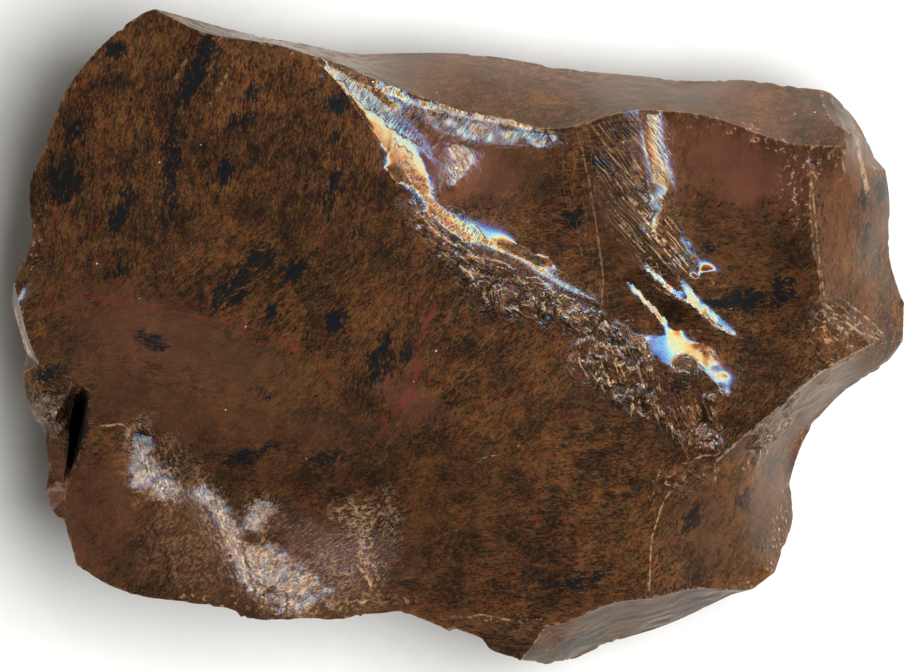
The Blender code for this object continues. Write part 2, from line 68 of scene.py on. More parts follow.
# ---- the mesh: sizes in millimetres
SOLID = "obsidian_chunk"
WELD = 0.001
RIDGE_ANGLE = math.radians(19)
LONGEST_FINE = 0.36
LONGEST_PLAIN = 0.52
LONGEST_UNDER = 0.9
EASING_PASSES = (4, 6, 8, 8)
EASING_SHARE = 0.5

# Places on the upper side that carry close detail, as polygons in plan.
FINE_ZONES = {
    "scars": ((-143, 263), (-53, 231), (19, 206), (118, 197), (199, 213), (271, 123), (271, -75),
        (208, -102), (91, -39), (-17, 69), (-89, 177)),
    "lower left": ((-305, -70), (-233, -93), (-143, -147), (-53, -138), (-35, -201), (-62, -250),
        (-197, -255), (-305, -201)),
    "ledge": ((-395, -12), (-328, -39), (-332, -147), (-377, -147)),
}

# ---- gleams: strips of the glass that face the lamp
LAMP_RISE = 45
LAMP_TAN = math.tan(math.radians(LAMP_RISE))
GLEAM_HOLD = 1.0
GLEAM_HOLD_ALONG = 0.1
REST_HOLD = 0.02
ANCHOR_HOLD = 0.0005
GLEAM_MARGIN = 5.0
GLEAM_STEPS = 250
GLEAM_ROUNDS = 3
LEAST_UPWARD = 0.2
LEAST_WIDTH = 0.1
RAGGED_SIZE = 0.8
RAGGED_EDGE = 0.12
UNEVEN_EDGE = 3
# The direction in plan along which a gleam's slope changes.
UPPER_RIGHT = np.array([0.7, 0.7])
# Each turned patch: how much its slope towards +Y differs from the lamp's mirror slope, by how much that is
# more at its upper right and less at its lower left, how uneven it is, and its outline.
GLEAMS = {
    "wall fan": (-0.008, 0.045, 0.015, ((-123, 246), (-103, 238), (-78, 221), (-57, 199), (-42, 177),
        (-31, 159), (-26, 132), (-31, 126), (-50, 144), (-66, 168), (-82, 195), (-102, 222))),
    "wall foot": (-0.02, 0.042, 0.01, ((-31, 134), (-17, 119), (-1, 108), (15, 99), (26, 86), (22, 81),
        (8, 85), (-10, 95), (-25, 109), (-32, 123))),
    "wall line": (0, 0.025, 0, ((23, 89), (64, 68), (100, 47), (130, 32), (128, 29), (96, 43), (62, 64),
        (20, 85))),
    "inner arc": (0.046, 0.012, 0.02, ((-60, 206), (-46, 199), (-30, 183), (-21, 154), (-30, 159),
        (-42, 179))),
    "scar patch": (0, -0.02, 0.05, ((-14, 175), (-1, 174), (11, 165), (13, 154), (3, 143), (-4, 134),
        (-7, 145), (-3, 156), (-6, 165))),
    "crown haze": (0.05, -0.03, 0.15, ((-51, 211), (-26, 202), (19, 192), (64, 185), (91, 180), (80, 170),
        (37, 172), (3, 176), (-21, 183), (-39, 197))),
    "crown strip": (0, -0.03, 0.09, ((-98, 238), (-68, 227), (-42, 216), (-12, 207), (37, 197), (64, 191),
        (60, 188), (37, 193), (-12, 202), (-35, 206), (-60, 215))),
    "streak": (-0.008, 0.045, 0.01, ((168, 202), (184, 202), (187, 168), (188, 136), (176, 136),
        (174, 159))),
    "streak foot": (-0.01, 0.03, 0.03, ((176, 136), (188, 136), (184, 118), (179, 100), (177, 87),
        (170, 91), (172, 114))),
    "violet chips": (0.03, 0.01, 0.2, ((217, -75), (235, -78), (240, -93), (228, -102), (217, -93))),
    "lance": (0.012, 0.035, 0.03, ((196, 58), (205, 49), (221, 33), (237, 19), (252, 4), (247, -2),
        (229, 8), (214, 22), (202, 36))),
    "lance twin": (0.02, 0.02, 0.12, ((195, 79), (202, 75), (211, 66), (216, 58), (212, 57), (208, 60),
        (202, 66))),
    "lance lines": (-0.01, 0.02, 0.08, ((161, 73), (168, 69), (192, 46), (206, 32), (202, 30), (184, 43),
        (168, 58))),
    "blade edge": (-0.01, 0.02, 0.01, ((152, 52), (161, 45), (175, 31), (189, 14), (184, 9), (169, 25),
        (155, 42))),
    "blade": (0, -0.042, 0.015, ((186, 13), (202, -3), (217, -12), (223, -21), (216, -26), (199, -22),
        (184, -26), (176, -17), (166, -4), (177, -1), (184, 4))),
    "blade tail": (0.012, -0.02, 0.1, ((220, -19), (229, -26), (241, -40), (248, -53), (238, -50),
        (225, -37), (216, -27))),
    "dish west": (-0.02, 0.02, 0.2, ((-290, -86), (-276, -87), (-277, -103), (-282, -120), (-280, -134),
        (-290, -136), (-292, -120), (-289, -102))),
    "dish west foot": (0.02, 0.02, 0.07, ((-281, -106), (-275, -109), (-266, -129), (-257, -145),
        (-266, -149), (-274, -136))),
    "dish band": (-0.02, 0.02, 0.18, ((-233, -127), (-222, -136), (-209, -151), (-197, -174), (-193, -196),
        (-182, -221), (-174, -237), (-188, -229), (-197, -214), (-205, -192), (-213, -169), (-228, -148))),
    "dish knot": (-0.015, 0.03, 0.12, ((-181, -145), (-168, -145), (-169, -159), (-176, -165),
        (-181, -177), (-188, -174), (-186, -158))),
    "dish beige": (-0.03, 0.02, 0.3, ((-195, -188), (-174, -184), (-152, -197), (-130, -213), (-111, -228),
        (-134, -233), (-165, -228), (-184, -217))),
    "dish bowl": (0, -0.03, 0.2, ((-170, -228), (-152, -226), (-129, -236), (-143, -249), (-165, -251),
        (-174, -240))),
}
# Patches that would catch the lamp where the glass stays dark: the slope they get, and the outline.
QUIET = {
    "fold": (-0.12, ((-233, 276), (-177, 264), (-193, 222), (-220, 188), (-264, 183), (-251, 231))),
    "lance side": (-0.12, ((208, 55), (214, 50), (221, 59), (240, 55), (253, 34), (256, 4), (249, 4),
        (231, 21), (217, 35))),
    "crown end": (-0.15, ((-199, 267), (-143, 258), (-120, 248), (-123, 237), (-152, 244), (-197, 249))),
}

# ---- relief: heights in millimetres
# Domes: (centre, radius, height).
DOMES = {
    "blade bulb": ((202, -35), 1.6, 0.55),
    "ledge bulb": ((-370, -67), 1.7, 0.5),
    "bead": ((-362, -156), 0.8, 0.3),
}
# Hatched glass: the direction of its lines in degrees from +X, their length and spacing, their height in the
# mesh and in the finest relief, how pale their crests are, and the outline.
HATCHES = {
    "crown fan": (62, 1.6, 0.22, 0.01, 0.022, 0.12, ((-112, 240), (-53, 221), (-17, 210), (55, 193),
        (91, 177), (-26, 168), (-67, 197))),
    "spine side": (-84, 2.6, 0.22, 0.015, 0.016, 0.2, ((80, 183), (118, 188), (130, 110), (132, 33),
        (122, 37), (109, 87), (91, 123))),
    "spine top": (-52, 4, 0.2, 0.01, 0.012, 0.75, ((113, 191), (163, 202), (170, 168), (176, 132),
        (163, 132), (130, 110))),
    "streak": (-52, 2, 0.26, 0.006, 0.01, 0.2, ((163, 206), (188, 206), (192, 123), (188, 87), (167, 87),
        (167, 123), (174, 150))),
    "spine fan": (-49, 4.5, 0.2, 0.045, 0.05, 1, ((130, 132), (163, 132), (188, 123), (195, 96), (210, 68),
        (199, 55), (163, 68), (130, 110))),
    "blade side": (-78, 1.4, 0.22, 0, 0.02, 0.06, ((219, 17), (242, 1), (264, -13), (255, -26), (231, -12),
        (211, 3))),
    "scar patch": (-64, 1.2, 0.22, 0.012, 0.03, 0.25, ((-17, 181), (3, 179), (17, 166), (15, 148),
        (3, 132), (-10, 132), (-13, 159))),
    "wall foot": (58, 0.9, 0.24, 0, 0.014, 0, ((-58, 177), (-26, 132), (28, 87), (127, 33), (91, 33),
        (10, 83), (-35, 119))),
    "shelf": (-33, 1.3, 0.24, 0, 0.05, 0.65, ((-51, 119), (-37, 112), (-6, 82), (30, 68), (80, 40),
        (129, 22), (123, -7), (91, 11), (55, 15), (22, 31), (-6, 60), (-35, 91))),
    "below shelf": (-72, 1.3, 0.24, 0, 0.06, 0.7, ((123, 17), (163, -3), (188, -50), (208, -84),
        (202, -103), (181, -79), (154, -70), (118, -40), (104, -7))),
    "below blade": (-60, 1.2, 0.26, 0, 0.06, 0.6, ((188, -50), (235, -53), (231, -97), (208, -102))),
    "right end": (-33, 1.2, 0.26, 0, 0.06, 0.4, ((318, 33), (348, 31), (357, 2), (379, -5), (334, -28),
        (314, -17))),
    "heel": (-33, 1.2, 0.26, 0, 0.05, 0.4, ((190, -129), (222, -118), (228, -132), (201, -145),
        (190, -141))),
    "bite crest": (55, 1.2, 0.26, 0, 0.05, 0.35, ((258, -93), (291, -64), (305, -53), (296, -75),
        (278, -96), (266, -116))),
    "ledge": (-72, 1.2, 0.26, 0, 0.05, 0.3, ((-388, -53), (-359, -53), (-352, -79), (-359, -97),
        (-381, -93))),
    "dish west": (-72, 0.8, 0.26, 0.01, 0.02, 0.25, ((-298, -80), (-251, -84), (-242, -129), (-208, -147),
        (-188, -201), (-181, -237), (-206, -219), (-242, -147), (-269, -156))),
    "dish": (48, 0.7, 0.26, 0.01, 0.02, 0.2, ((-197, -147), (-166, -138), (-116, -183), (-53, -138),
        (-50, -201), (-89, -237), (-143, -253), (-177, -248), (-193, -201))),
}
# Hatches whose stone is crushed too.
CRUSHED = ("shelf", "below shelf", "below blade", "right end", "heel", "bite crest")
# Rings about a point: the centre, the outer radius, the spacing, the finest relief's height and how pale.
RINGS = (
    ((202, -35), 1.9, 0.34, 0.045, 0.35), ((-372, -64), 2.4, 0.6, 0.12, 0.5), ((22, 40), 2, 0.3, 0.05, 0.5),
    ((62, 33), 1.4, 0.28, 0.05, 0.5), ((78, 22), 1.1, 0.28, 0.05, 0.4), ((112, -26), 1.9, 0.3, 0.05, 0.45),
    ((148, -52), 1.7, 0.3, 0.05, 0.4), ((280, -190), 2, 0.5, 0.03, 0.12),
    ((221, -84), 1.5, 0.32, 0.05, 0.4), ((-362, -156), 0.9, 0.3, 0.04, 0.2),
    ((-166, -238), 1.8, 0.36, 0.035, 0.25), ((379, -16), 1.2, 0.3, 0.04, 0.2),
)
HATCH_WAVE = 3.0
LEAST_MASK = 0.01
# Keeps the lines of two hatches apart in the noise.
HATCH_APART = 7.0
# How far the broad and the middle noise push a hatch's edge, its fine lines and its waves.
EDGE_WANDER = (0.2, 0.5)
LINE_WANDER = (0.3, 0.08)
WAVE_WANDER = (0.35, 0.08)
HATCH_EDGE = 0.5
# How much of a wave's height is steady, and how much comes and goes.
WAVE_STEADY, WAVE_UNEVEN = 0.6, 0.4
# A ring mark: its weight against the hatches, its full part, how far it wanders and the arc of one line.
RING_WEIGHT = 1.05
RING_FULL = 0.6
RING_WANDER = 0.3
RING_ARC = 0.8
# How far a face turns up where relief and colours fade in.
RELIEF_UPWARD = (-0.05, 0.3)
COLOUR_UPWARD = (-0.3, 0.1)
# Scallops chipped along the rims: their size and depth, and how steep and how high the sides are where they
# fade in.
RIM_CHIPS = ((2.2, 0.36), (0.9, 0.09))
CHIPPED_STEEPNESS = (0.66, 0.92)
CHIPPED_HEIGHT = (1, 5)
FLAKE_WIDTH = 1.5
FLAKE_TILT = 0.14
FLAKE_HOLLOW = 0.25
FLAKE_WANDER = 0.35
CHIP_HEIGHT = 0.02
UNEVEN_HEIGHT = 0.006
# The sizes of the broad, middle and close noise that makes the relief uneven.
BROAD, MIDDLE, CLOSE = 2.3, 0.9, 0.42

# ---- where the colours lie
# Ellipses of black cloud, clear brown glass with few streaks, redder glass, bright chips and dull glass:
# (centre, half length, half width, turn in degrees, strength). A few of the clouds are painted shade, two of
# the bright chips are painted highlights, and the dull glass's brushed streaks are partly a painted sheen.
BLOBS = {
    "cloud_and_shade": (
        ((-305, 256), 1.3, 1, 60, 1), ((-196, 193), 0.9, 1.2, 80, 0.9), ((-189, 243), 0.8, 0.5, 0, 0.7),
        ((-210, 148), 1.5, 1.1, 60, 0.9), ((-184, 221), 1.3, 0.6, 80, 0.8),
        ((-107, 211), 1.1, 0.9, 60, 0.9), ((-111, 181), 0.7, 0.7, 0, 0.7), ((-112, 131), 2.1, 0.8, 80, 0.9),
        ((-355, 139), 2.3, 1.4, 80, 0.9), ((-345, 182), 1.4, 0.9, 60, 0.8), ((-305, 107), 1.7, 0.9, 70, 1),
        # The long ellipse at (-258, 159) is partly a black cloud and partly painted shade: the dark band beside
        # the fold.
        ((-258, 159), 5.4, 0.9, 84, 0.8), ((-297, 129), 1.3, 0.8, 70, 0.7), ((-178, 71), 1.6, 1, 50, 1),
        ((-204, 42), 2.5, 1.4, 55, 0.9), ((-147, 60), 1.4, 0.9, 45, 1), ((-110, 15), 1.3, 0.9, 40, 1),
        ((-167, 23), 1.4, 0.7, 55, 0.8), ((-124, 42), 0.9, 0.5, 30, 0.7), ((-329, 34), 1.3, 0.4, -15, 0.8),
        ((-276, -3), 1.6, 0.8, -10, 1.2), ((-283, 5), 0.6, 0.5, 60, 0.9), ((-94, 92), 1, 0.6, 60, 0.6),
        ((-176, -51), 1.3, 0.6, -40, 0.7), ((-188, -106), 3.2, 0.9, 15, 0.8),
        ((-121, -109), 2.3, 0.8, 10, 0.8), ((-71, -22), 2.6, 1.1, 75, 0.9), ((-46, -12), 1.7, 0.6, 80, 0.8),
        ((-96, -208), 1.5, 0.6, 0, 0.7), ((102, 107), 1.2, 1, 20, 1), ((127, 158), 1.4, 0.5, -10, 1),
        ((251, 33), 3.6, 0.8, 8, 0.9), ((293, 42), 1.6, 1.3, 60, 0.8), ((217, 78), 3.4, 0.5, 12, 0.6),
        ((73, 68), 2.2, 0.5, -25, 0.7), ((109, -219), 2.6, 0.8, 10, 0.8), ((113, -273), 3, 0.8, 16, 0.8),
        ((208, -241), 4, 0.6, 14, 0.6), ((208, -165), 1.8, 0.9, 50, 0.7), ((257, -147), 1.6, 0.7, 60, 0.7),
        # The ellipses at (-238, 231) and (-228, 258) are partly black cloud and partly painted shade along the
        # fold.
        ((-305, 60), 1.6, 0.6, 20, 0.6), ((-238, 231), 3.6, 1, 60, 1), ((-228, 258), 1.2, 0.8, 60, 0.9),
        # The ellipse at (-343, -84) is painted shade: the dark gap of the crack beside the ledge.
        ((382, 132), 1, 0.8, 90, 1), ((366, 87), 2.6, 0.4, 80, 0.7), ((-343, -84), 4, 1, 80, 1),
        ((-368, -33), 1.4, 0.9, 20, 0.9), ((365, 123), 1.2, 0.5, 80, 0.8), ((377, 68), 1.2, 0.5, 80, 0.7)),
    "clear": (
        ((-233, -12), 11, 3.2, -20, 1), ((-278, -57), 8, 3, -20, 0.8), ((-143, -75), 9, 2.6, -8, 0.45),
        ((37, 159), 5, 3.2, -10, 0.7), ((253, 155), 6, 3, -8, 0.5), ((-314, -165), 6, 6, 0, 0.45),
        ((1, 240), 9, 2.6, -10, 0.65), ((127, 227), 10, 3, -6, 0.55), ((253, 204), 8, 2.6, -12, 0.45),
        ((-143, 260), 6, 0.9, -12, 0.8), ((352, 96), 3.5, 9, 0, 0.6), ((343, -48), 6, 2, 35, 0.8),
        ((253, -165), 6, 5, 0, 0.5), ((239, 83), 5, 4, 0, 0.4), ((147, 87), 2.5, 4.5, 40, 0.5),
        ((163, -256), 8, 1.2, 14, 0.15), ((37, 209), 8, 1.8, -14, 0.5), ((172, 211), 8, 2, -4, 0.35),
        ((-143, -241), 12, 1.2, -5, 0.7), ((-233, -187), 8, 4.5, -35, 0.6), ((-125, -201), 8, 4, 0, 0.6)),
    "reddish": (
        ((10, 150), 5, 3, -15, 0.9), ((257, 155), 7, 3.6, -5, 0.9), ((-296, 6), 8, 4, -15, 0.35),
        ((-332, -165), 6, 6.5, 0, 0.4), ((-215, -75), 12, 4, -15, 0.25), ((-44, -57), 1.6, 3, 60, 0.9),
        ((-143, -201), 9, 4, 0, 0.45), ((341, 123), 2, 5, 0, 0.25), ((-44, -43), 0.9, 4, -12, 0.5),
        ((136, 236), 16, 2.4, -10, 0.25), ((217, 177), 6, 2.2, 0, 0.6)),
    "chipped_and_highlights": (
        # The two small ellipses at (-372, -64) and (-361, -58) are painted highlights: white glints on the
        # ledge's bulb.
        ((303, 132), 1.6, 2.8, 0, 0.9), ((-372, -64), 0.3, 0.6, 20, 1), ((-361, -58), 0.3, 0.8, -10, 1),
        ((235, 190), 3.6, 0.6, -8, 0.9), ((284, 172), 3, 0.7, -28, 1), ((150, 172), 0.7, 0.7, 0, 1),
        ((318, 150), 0.7, 2.4, 0, 1), ((338, 6), 2.6, 1.6, 0, 0.8), ((-103, -242), 6, 0.5, 6, 1),
        ((-188, -237), 3, 0.4, -10, 0.7), ((-143, -247), 4.5, 0.5, -2, 1), ((37, -252), 4, 0.4, -3, 0.7),
        ((-222, -237), 3.4, 0.5, -8, 1), ((73, 33), 3.5, 1.2, -30, 0.9), ((23, 51), 2.4, 1.2, -35, 0.8),
        ((138, -26), 3.6, 1.8, -62, 0.9), ((163, -61), 2.4, 1.2, -20, 0.9), ((217, -93), 1.6, 1.2, 50, 0.8),
        ((-17, 87), 3, 0.7, -45, 0.7), ((-359, 213), 0.6, 3, -32, 0.6), ((-379, 87), 0.7, 4, -10, 0.5),
        ((-373, -57), 1.8, 2.2, 0, 0.6), ((-161, 262), 4, 0.5, -14, 0.7), ((-89, -165), 1.8, 1.6, 0, 0.9),
        ((-80, -197), 0.8, 2.8, 14, 0.9), ((325, -75), 0.8, 3.5, -45, 0.5), ((280, -93), 3.6, 0.6, 47, 0.8),
        ((289, -183), 0.8, 3.5, -10, 0.7), ((181, -129), 1.5, 1, 50, 0.6), ((208, -129), 2.4, 0.6, 20, 0.6),
        ((10, 92), 1.2, 0.8, -30, 0.6)),
    # The dull glass lies over the lamp's sheens. Besides its roughness, its brushed pale streaks are partly a
    # painted sheen.
    "frosted_and_sheen": (
        ((-284, -108), 1.5, 3.6, 0, 1), ((-267, -132), 1.4, 2.4, 20, 1), ((-260, -106), 2, 1.8, -40, 0.5),
        ((-206, -178), 6.5, 1.5, -62, 1), ((-177, -160), 1.4, 2.2, 0, 1), ((-163, -214), 4.6, 2.8, -35, 1),
        ((-123, -214), 3.4, 2.4, -20, 0.5), ((-92, -159), 2.2, 1.7, 0, 1), ((-83, -193), 0.9, 3.4, 14, 1),
        ((-64, -158), 1.2, 2.2, 10, 0.8), ((10, 191), 6.5, 1, -12, 0.5), ((-85, 221), 4, 1.2, -35, 0.3),
        ((-98, -239), 4, 0.8, 8, 0.6), ((91, 249), 9, 1.4, -6, 0.25), ((-373, -61), 1.6, 1.6, 0, 0.4),
        ((-247, -193), 4.5, 3, -40, 0.35), ((-1, 158), 1.1, 2, -20, 0.6)),
}
# Thin red veins, and pale lines where a ridge or a scratch is worn, two of which are painted highlights:
# (points, half width, strength).
LINES = {
    "vein": (
        (((-359, 40), (-314, 33), (-269, 26), (-229, 17), (-188, 10), (-152, -4), (-127, -19), (-111, -42),
            (-96, -58)), 0.13, 0.8),
        (((-201, 6), (-177, -7), (-143, -12), (-127, -19)), 0.16, 0.5),
        (((-75, -79), (-58, -69), (-44, -55), (-37, -31), (-33, 6), (-17, 37)), 0.24, 0.85),
        (((-287, 24), (-251, 37), (-197, 17)), 0.12, 0.4), (((-66, -93), (-60, -68), (-49, -53)), 0.2, 0.6),
        (((-103, -127), (-78, -136), (-60, -147)), 0.15, 0.5),
        (((-314, 68), (-298, 50), (-292, 33)), 0.1, 0.4)),
    "pale": (
        (((109, 177), (117, 141), (122, 110), (127, 78), (130, 51), (128, 26)), 0.09, 0.35),
        (((-92, -202), (-84, -213), (-75, -229)), 0.14, 1),
        # This line along the left rim is a painted highlight, and the next one is a painted reflection on a
        # scallop at the right end.
        (((-401, 29), (-395, 6), (-383, -20)), 0.2, 0.9),
        (((358, 183), (362, 159), (369, 129)), 0.22, 0.55),
        (((-324, -80), (-303, -78), (-292, -86)), 0.1, 0.7), (((157, 46), (172, 26), (188, 6)), 0.08, 0.6),
        (((314, 168), (318, 132), (323, 78), (329, 33)), 0.08, 0.35),
        (((376, -5), (333, -26), (295, -57), (259, -87), (229, -114)), 0.1, 0.45),
        (((202, -123), (184, -147), (173, -181), (171, -228)), 0.08, 0.5),
        (((4, -252), (20, -249), (51, -255)), 0.1, 0.7), (((-98, 231), (-17, 202), (91, 183)), 0.14, 0.5),
        (((325, 33), (361, 4), (382, -3)), 0.1, 0.5),
        (((163, 71), (184, 51), (206, 31), (217, 26)), 0.08, 0.8),
        (((171, 49), (183, 41), (195, 35), (206, 30)), 0.06, 0.9),
        (((33, 48), (29, 40), (31, 31)), 0.07, 1), (((40, 48), (35, 40), (38, 31)), 0.07, 1),
        (((24, 46), (22, 40), (24, 32)), 0.06, 0.8), (((62, 42), (68, 35), (66, 25)), 0.08, 1),
        (((-6, 68), (10, 58), (24, 55)), 0.08, 0.7), (((107, -12), (109, -24), (118, -40)), 0.08, 0.8),
        (((127, -16), (130, -31), (125, -40), (116, -28)), 0.07, 0.8),
        (((158, -64), (165, -70), (174, -75)), 0.09, 1), (((154, -3), (159, -22), (168, -50)), 0.1, 0.7),
        (((-37, 112), (-17, 91), (10, 73), (37, 68)), 0.07, 0.6),
        (((55, 53), (77, 42), (102, 28)), 0.07, 0.6), (((73, 33), (78, 26), (74, 19)), 0.08, 0.9),
        (((132, 168), (147, 152), (165, 132)), 0.05, 0.7), (((138, 145), (158, 118), (177, 93)), 0.06, 0.9),
        (((132, 125), (152, 98), (172, 76)), 0.05, 0.8), (((138, 107), (161, 82), (184, 60)), 0.06, 0.9),
        (((163, 111), (177, 94), (193, 80)), 0.06, 0.9), (((172, 94), (188, 75), (208, 55)), 0.07, 1),
        (((156, 161), (165, 148), (172, 136)), 0.05, 0.7),
        (((150, 132), (166, 112), (183, 100)), 0.05, 0.9),
        (((208, -112), (219, -106), (228, -106)), 0.1, 0.9),
        (((-50, 152), (-35, 127), (-17, 111)), 0.07, 0.5), (((19, -109), (37, -105)), 0.06, 0.7),
        (((347, 33), (368, 17), (386, -1)), 0.09, 0.5)),
}
# Direction of the streaks in degrees from +X at a few places, mixed smoothly between them.
GRAIN = (
    ((-332, 195), 80), ((-206, 186), 82), ((-116, 132), 75), ((-305, 105), 75), ((-188, 51), 52),
    ((-116, 33), 50), ((-53, 6), 66), ((-67, -39), 74), ((1, 33), 48), ((55, -39), 28), ((-26, -120), 22),
    ((127, -120), 12), ((91, -219), 12), ((-251, -12), 5), ((-323, -75), 20), ((-161, -106), 22),
    ((-278, -183), 35), ((-116, -192), 15), ((217, -174), 62), ((253, 69), 4), ((73, 87), 18),
    ((19, 159), 60), ((244, 168), 70), ((370, 87), 80), ((136, 240), -8), ((145, 123), -48),
)
GRAIN_TURNS = (4, 45, 80)
GRAIN_SPREAD = 18
GRAIN_REACH = 2
LEAST_SHARE = 1e-4
# Where an ellipse fades, in its half lengths.
BLOB_FADE = (0.4, 1.5)
# The noises that make an ellipse's edge uneven: reach, size in millimetres and seed.
BLOB_WOBBLES = ((0.35, 1.2, 5), (0.2, 0.5, 6))
# How far a line tapers at its ends, and where it fades away from its middle.
TAPER = 0.7
LINE_FADE = (0.45, 0.95)


# ---- shared sums
def smooth_step(value, start, end):
    """0 before the start, 1 after the end and a soft change between them."""
    share = np.clip((value - start) / (end - start), 0, 1)
    return share * share * (3 - 2 * share)


def distance_to_line(plan, start, end):
    """Each point's distance to the segment."""
    along = end - start
    share = np.clip((plan - start) @ along / (along @ along), 0, 1)
    return np.linalg.norm(plan - start - share[:, None] * along, axis=1)


def distance_inside(plan, polygon):
    """How far each point is inside the polygon, in millimetres, and less than 0 outside it."""
    corners = np.array(polygon) / TENTHS
    inside = np.zeros(len(plan), bool)
    nearest = np.full(len(plan), np.inf)
    for start, end in zip(corners, np.roll(corners, -1, axis=0)):
        (ax, ay), (bx, by) = start, end
        if ay != by:
            crosses = (ay > plan[:, 1]) != (by > plan[:, 1])
            inside ^= crosses & (plan[:, 0] < ax + (plan[:, 1] - ay) * (bx - ax) / (by - ay))
        nearest = np.minimum(nearest, distance_to_line(plan, start, end))
    return np.where(inside, nearest, -nearest)


def noise_at(points, size, seed):
    """Smooth noise from about -1 to 1 at each point, with lumps of this size."""
    shift = Vector((seed * 7.3, seed * 3.1, seed * 5.7))
    return np.array([noise.noise(Vector(point) / size + shift) for point in points])


# ---- the mesh
def solid_arrays(node):
    """The solid's corners in millimetres and its triangles, with the corners that share a place made one."""
    shape = bmesh.new()
    shape.from_mesh(node.data)
    bmesh.ops.remove_doubles(shape, verts=shape.verts[:], dist=WELD * MM)
    bmesh.ops.triangulate(shape, faces=shape.faces[:])
    points = np.array([vert.co for vert in shape.verts]) / MM
    shape.verts.index_update()
    faces = np.array([[vert.index for vert in face.verts] for face in shape.faces])
    shape.free()
    return points, faces


def face_vectors(points, faces):
    """Each face's outward direction, as long as twice its area."""
    corners = points[faces]
    return np.cross(corners[:, 1] - corners[:, 0], corners[:, 2] - corners[:, 0])


def unit(vectors):
    return vectors / np.maximum(np.linalg.norm(vectors, axis=1), TINY)[:, None]


def gathered(corners, vectors, count):
    """For each of the points, the sum of the vectors that are given for it."""
    return np.stack([np.bincount(corners, vectors[:, axis], count) for axis in range(3)], axis=1)


def vertex_normals(points, faces):
    return unit(gathered(faces.ravel(), np.repeat(face_vectors(points, faces), 3, axis=0), len(points)))


def edges_of(faces):
    """The mesh's edges as pairs of corners, and for each face the numbers of its three edges."""
    sides = np.sort(faces[:, [[0, 1], [1, 2], [2, 0]]].reshape(-1, 2), axis=1)
    edges, number = np.unique(sides, axis=0, return_inverse=True)
    return edges, number.reshape(-1, 3)


def ridges_of(points, faces):
    """The edges where two faces meet at more than the ridge angle."""
    edges, number = edges_of(faces)
    normals = unit(face_vectors(points, faces))
    order = np.argsort(number.ravel(), kind="stable")
    first, second = (order // 3).reshape(-1, 2).T
    bend = np.einsum("ij,ij->i", normals[first], normals[second])
    return edges[bend < math.cos(RIDGE_ANGLE)]


def among(pairs, others, count):
    """Which of the pairs of corners are also among the others."""
    keys = [np.sort(some, axis=1).astype(np.int64) @ (count, 1) for some in (pairs, others)]
    return np.isin(*keys)


def longest_edges(points, faces, edges):
    """The longest that each edge may be: short where there is close detail, and long on the under side."""
    middles = points[edges].mean(axis=1)
    limit = np.full(len(edges), LONGEST_PLAIN)
    for polygon in FINE_ZONES.values():
        limit[distance_inside(middles[:, :2], polygon) > 0] = LONGEST_FINE
    faces_down = vertex_normals(points, faces)[:, 2] < 0
    limit[faces_down[edges].all(axis=1)] = LONGEST_UNDER
    return limit


def cut_long_edges(points, faces, ridges):
    """Each edge longer than its limit is cut in the middle, and so are its faces. Ridges stay ridges."""
    edges, number = edges_of(faces)
    middles = points[edges].mean(axis=1)
    length = np.linalg.norm(points[edges[:, 0]] - points[edges[:, 1]], axis=1)
    cut = length > longest_edges(points, faces, edges)
    new = np.full(len(edges), -1)
    new[cut] = len(points) + np.arange(cut.sum())
    is_ridge = among(edges, ridges, len(points))
    kept = edges[is_ridge & ~cut]
    halves = [np.stack([edges[is_ridge & cut][:, end], new[is_ridge & cut]], axis=1) for end in (0, 1)]
    cuts = cut[number]
    turns = np.select([cuts.sum(axis=1) == 1, cuts.sum(axis=1) == 2],
                      [cuts.argmax(axis=1), (cuts.argmin(axis=1) + 1) % 3], 0)
    turned = (np.arange(3) + turns[:, None]) % 3
    a, b, c = np.take_along_axis(faces, turned, axis=1).T
    ab, bc, ca = new[np.take_along_axis(number, turned, axis=1)].T
    patterns = {0: ((a, b, c),),
                1: ((a, ab, c), (ab, b, c)),
                2: ((ab, b, bc), (a, ab, bc), (a, bc, c)),
                3: ((a, ab, ca), (ab, b, bc), (ca, bc, c), (ab, bc, ca))}
    pieces = [np.stack(triangle, axis=1)[cuts.sum(axis=1) == number_cut]
              for number_cut, triangles in patterns.items() for triangle in triangles]
    return np.concatenate([points, middles[cut]]), np.concatenate(pieces), np.concatenate([kept, *halves])


def eased(points, faces, ridges, passes):
    """The points drawn towards the middle of their neighbours. A point on a ridge moves along the ridge only,
    and one where ridges meet or end stays."""
    edges, _ = edges_of(faces)
    on_ridge = np.bincount(ridges.ravel(), minlength=len(points))
    free = edges[on_ridge[edges[:, 0]] == 0], edges[on_ridge[edges[:, 1]] == 0][:, ::-1]
    ties = np.concatenate([*free, ridges, ridges[:, ::-1]])
    count = np.bincount(ties[:, 0], minlength=len(points))
    moves = ((on_ridge == 0) | (on_ridge == 2)) & (count > 0)
    points = points.copy()
    for _ in range(passes):
        pull = gathered(ties[:, 0], points[ties[:, 1]], len(points))
        middle = pull[moves] / count[moves, None]
        points[moves] += EASING_SHARE * (middle - points[moves])
    return points


def fine_mesh(points, faces):
    """The solid cut into small triangles, with its broad faces eased between the ridges."""
    ridges = ridges_of(points, faces)
    for passes in EASING_PASSES:
        points, faces, ridges = cut_long_edges(points, faces, ridges)
        points = eased(points, faces, ridges, passes)
    return points, faces, ridges


# ---- gleams
def plan_gradients(points, faces):
    """For each face its plan area, and the three vectors that turn corner heights into its slope."""
    plan = points[faces][:, :, :2]
    opposite = np.roll(plan, -2, axis=1) - np.roll(plan, -1, axis=1)
    double = np.cross(plan[:, 1] - plan[:, 0], plan[:, 2] - plan[:, 0])
    vectors = np.stack([-opposite[:, :, 1], opposite[:, :, 0]], axis=2) / double[:, None, None]
    return np.abs(double) / 2, vectors


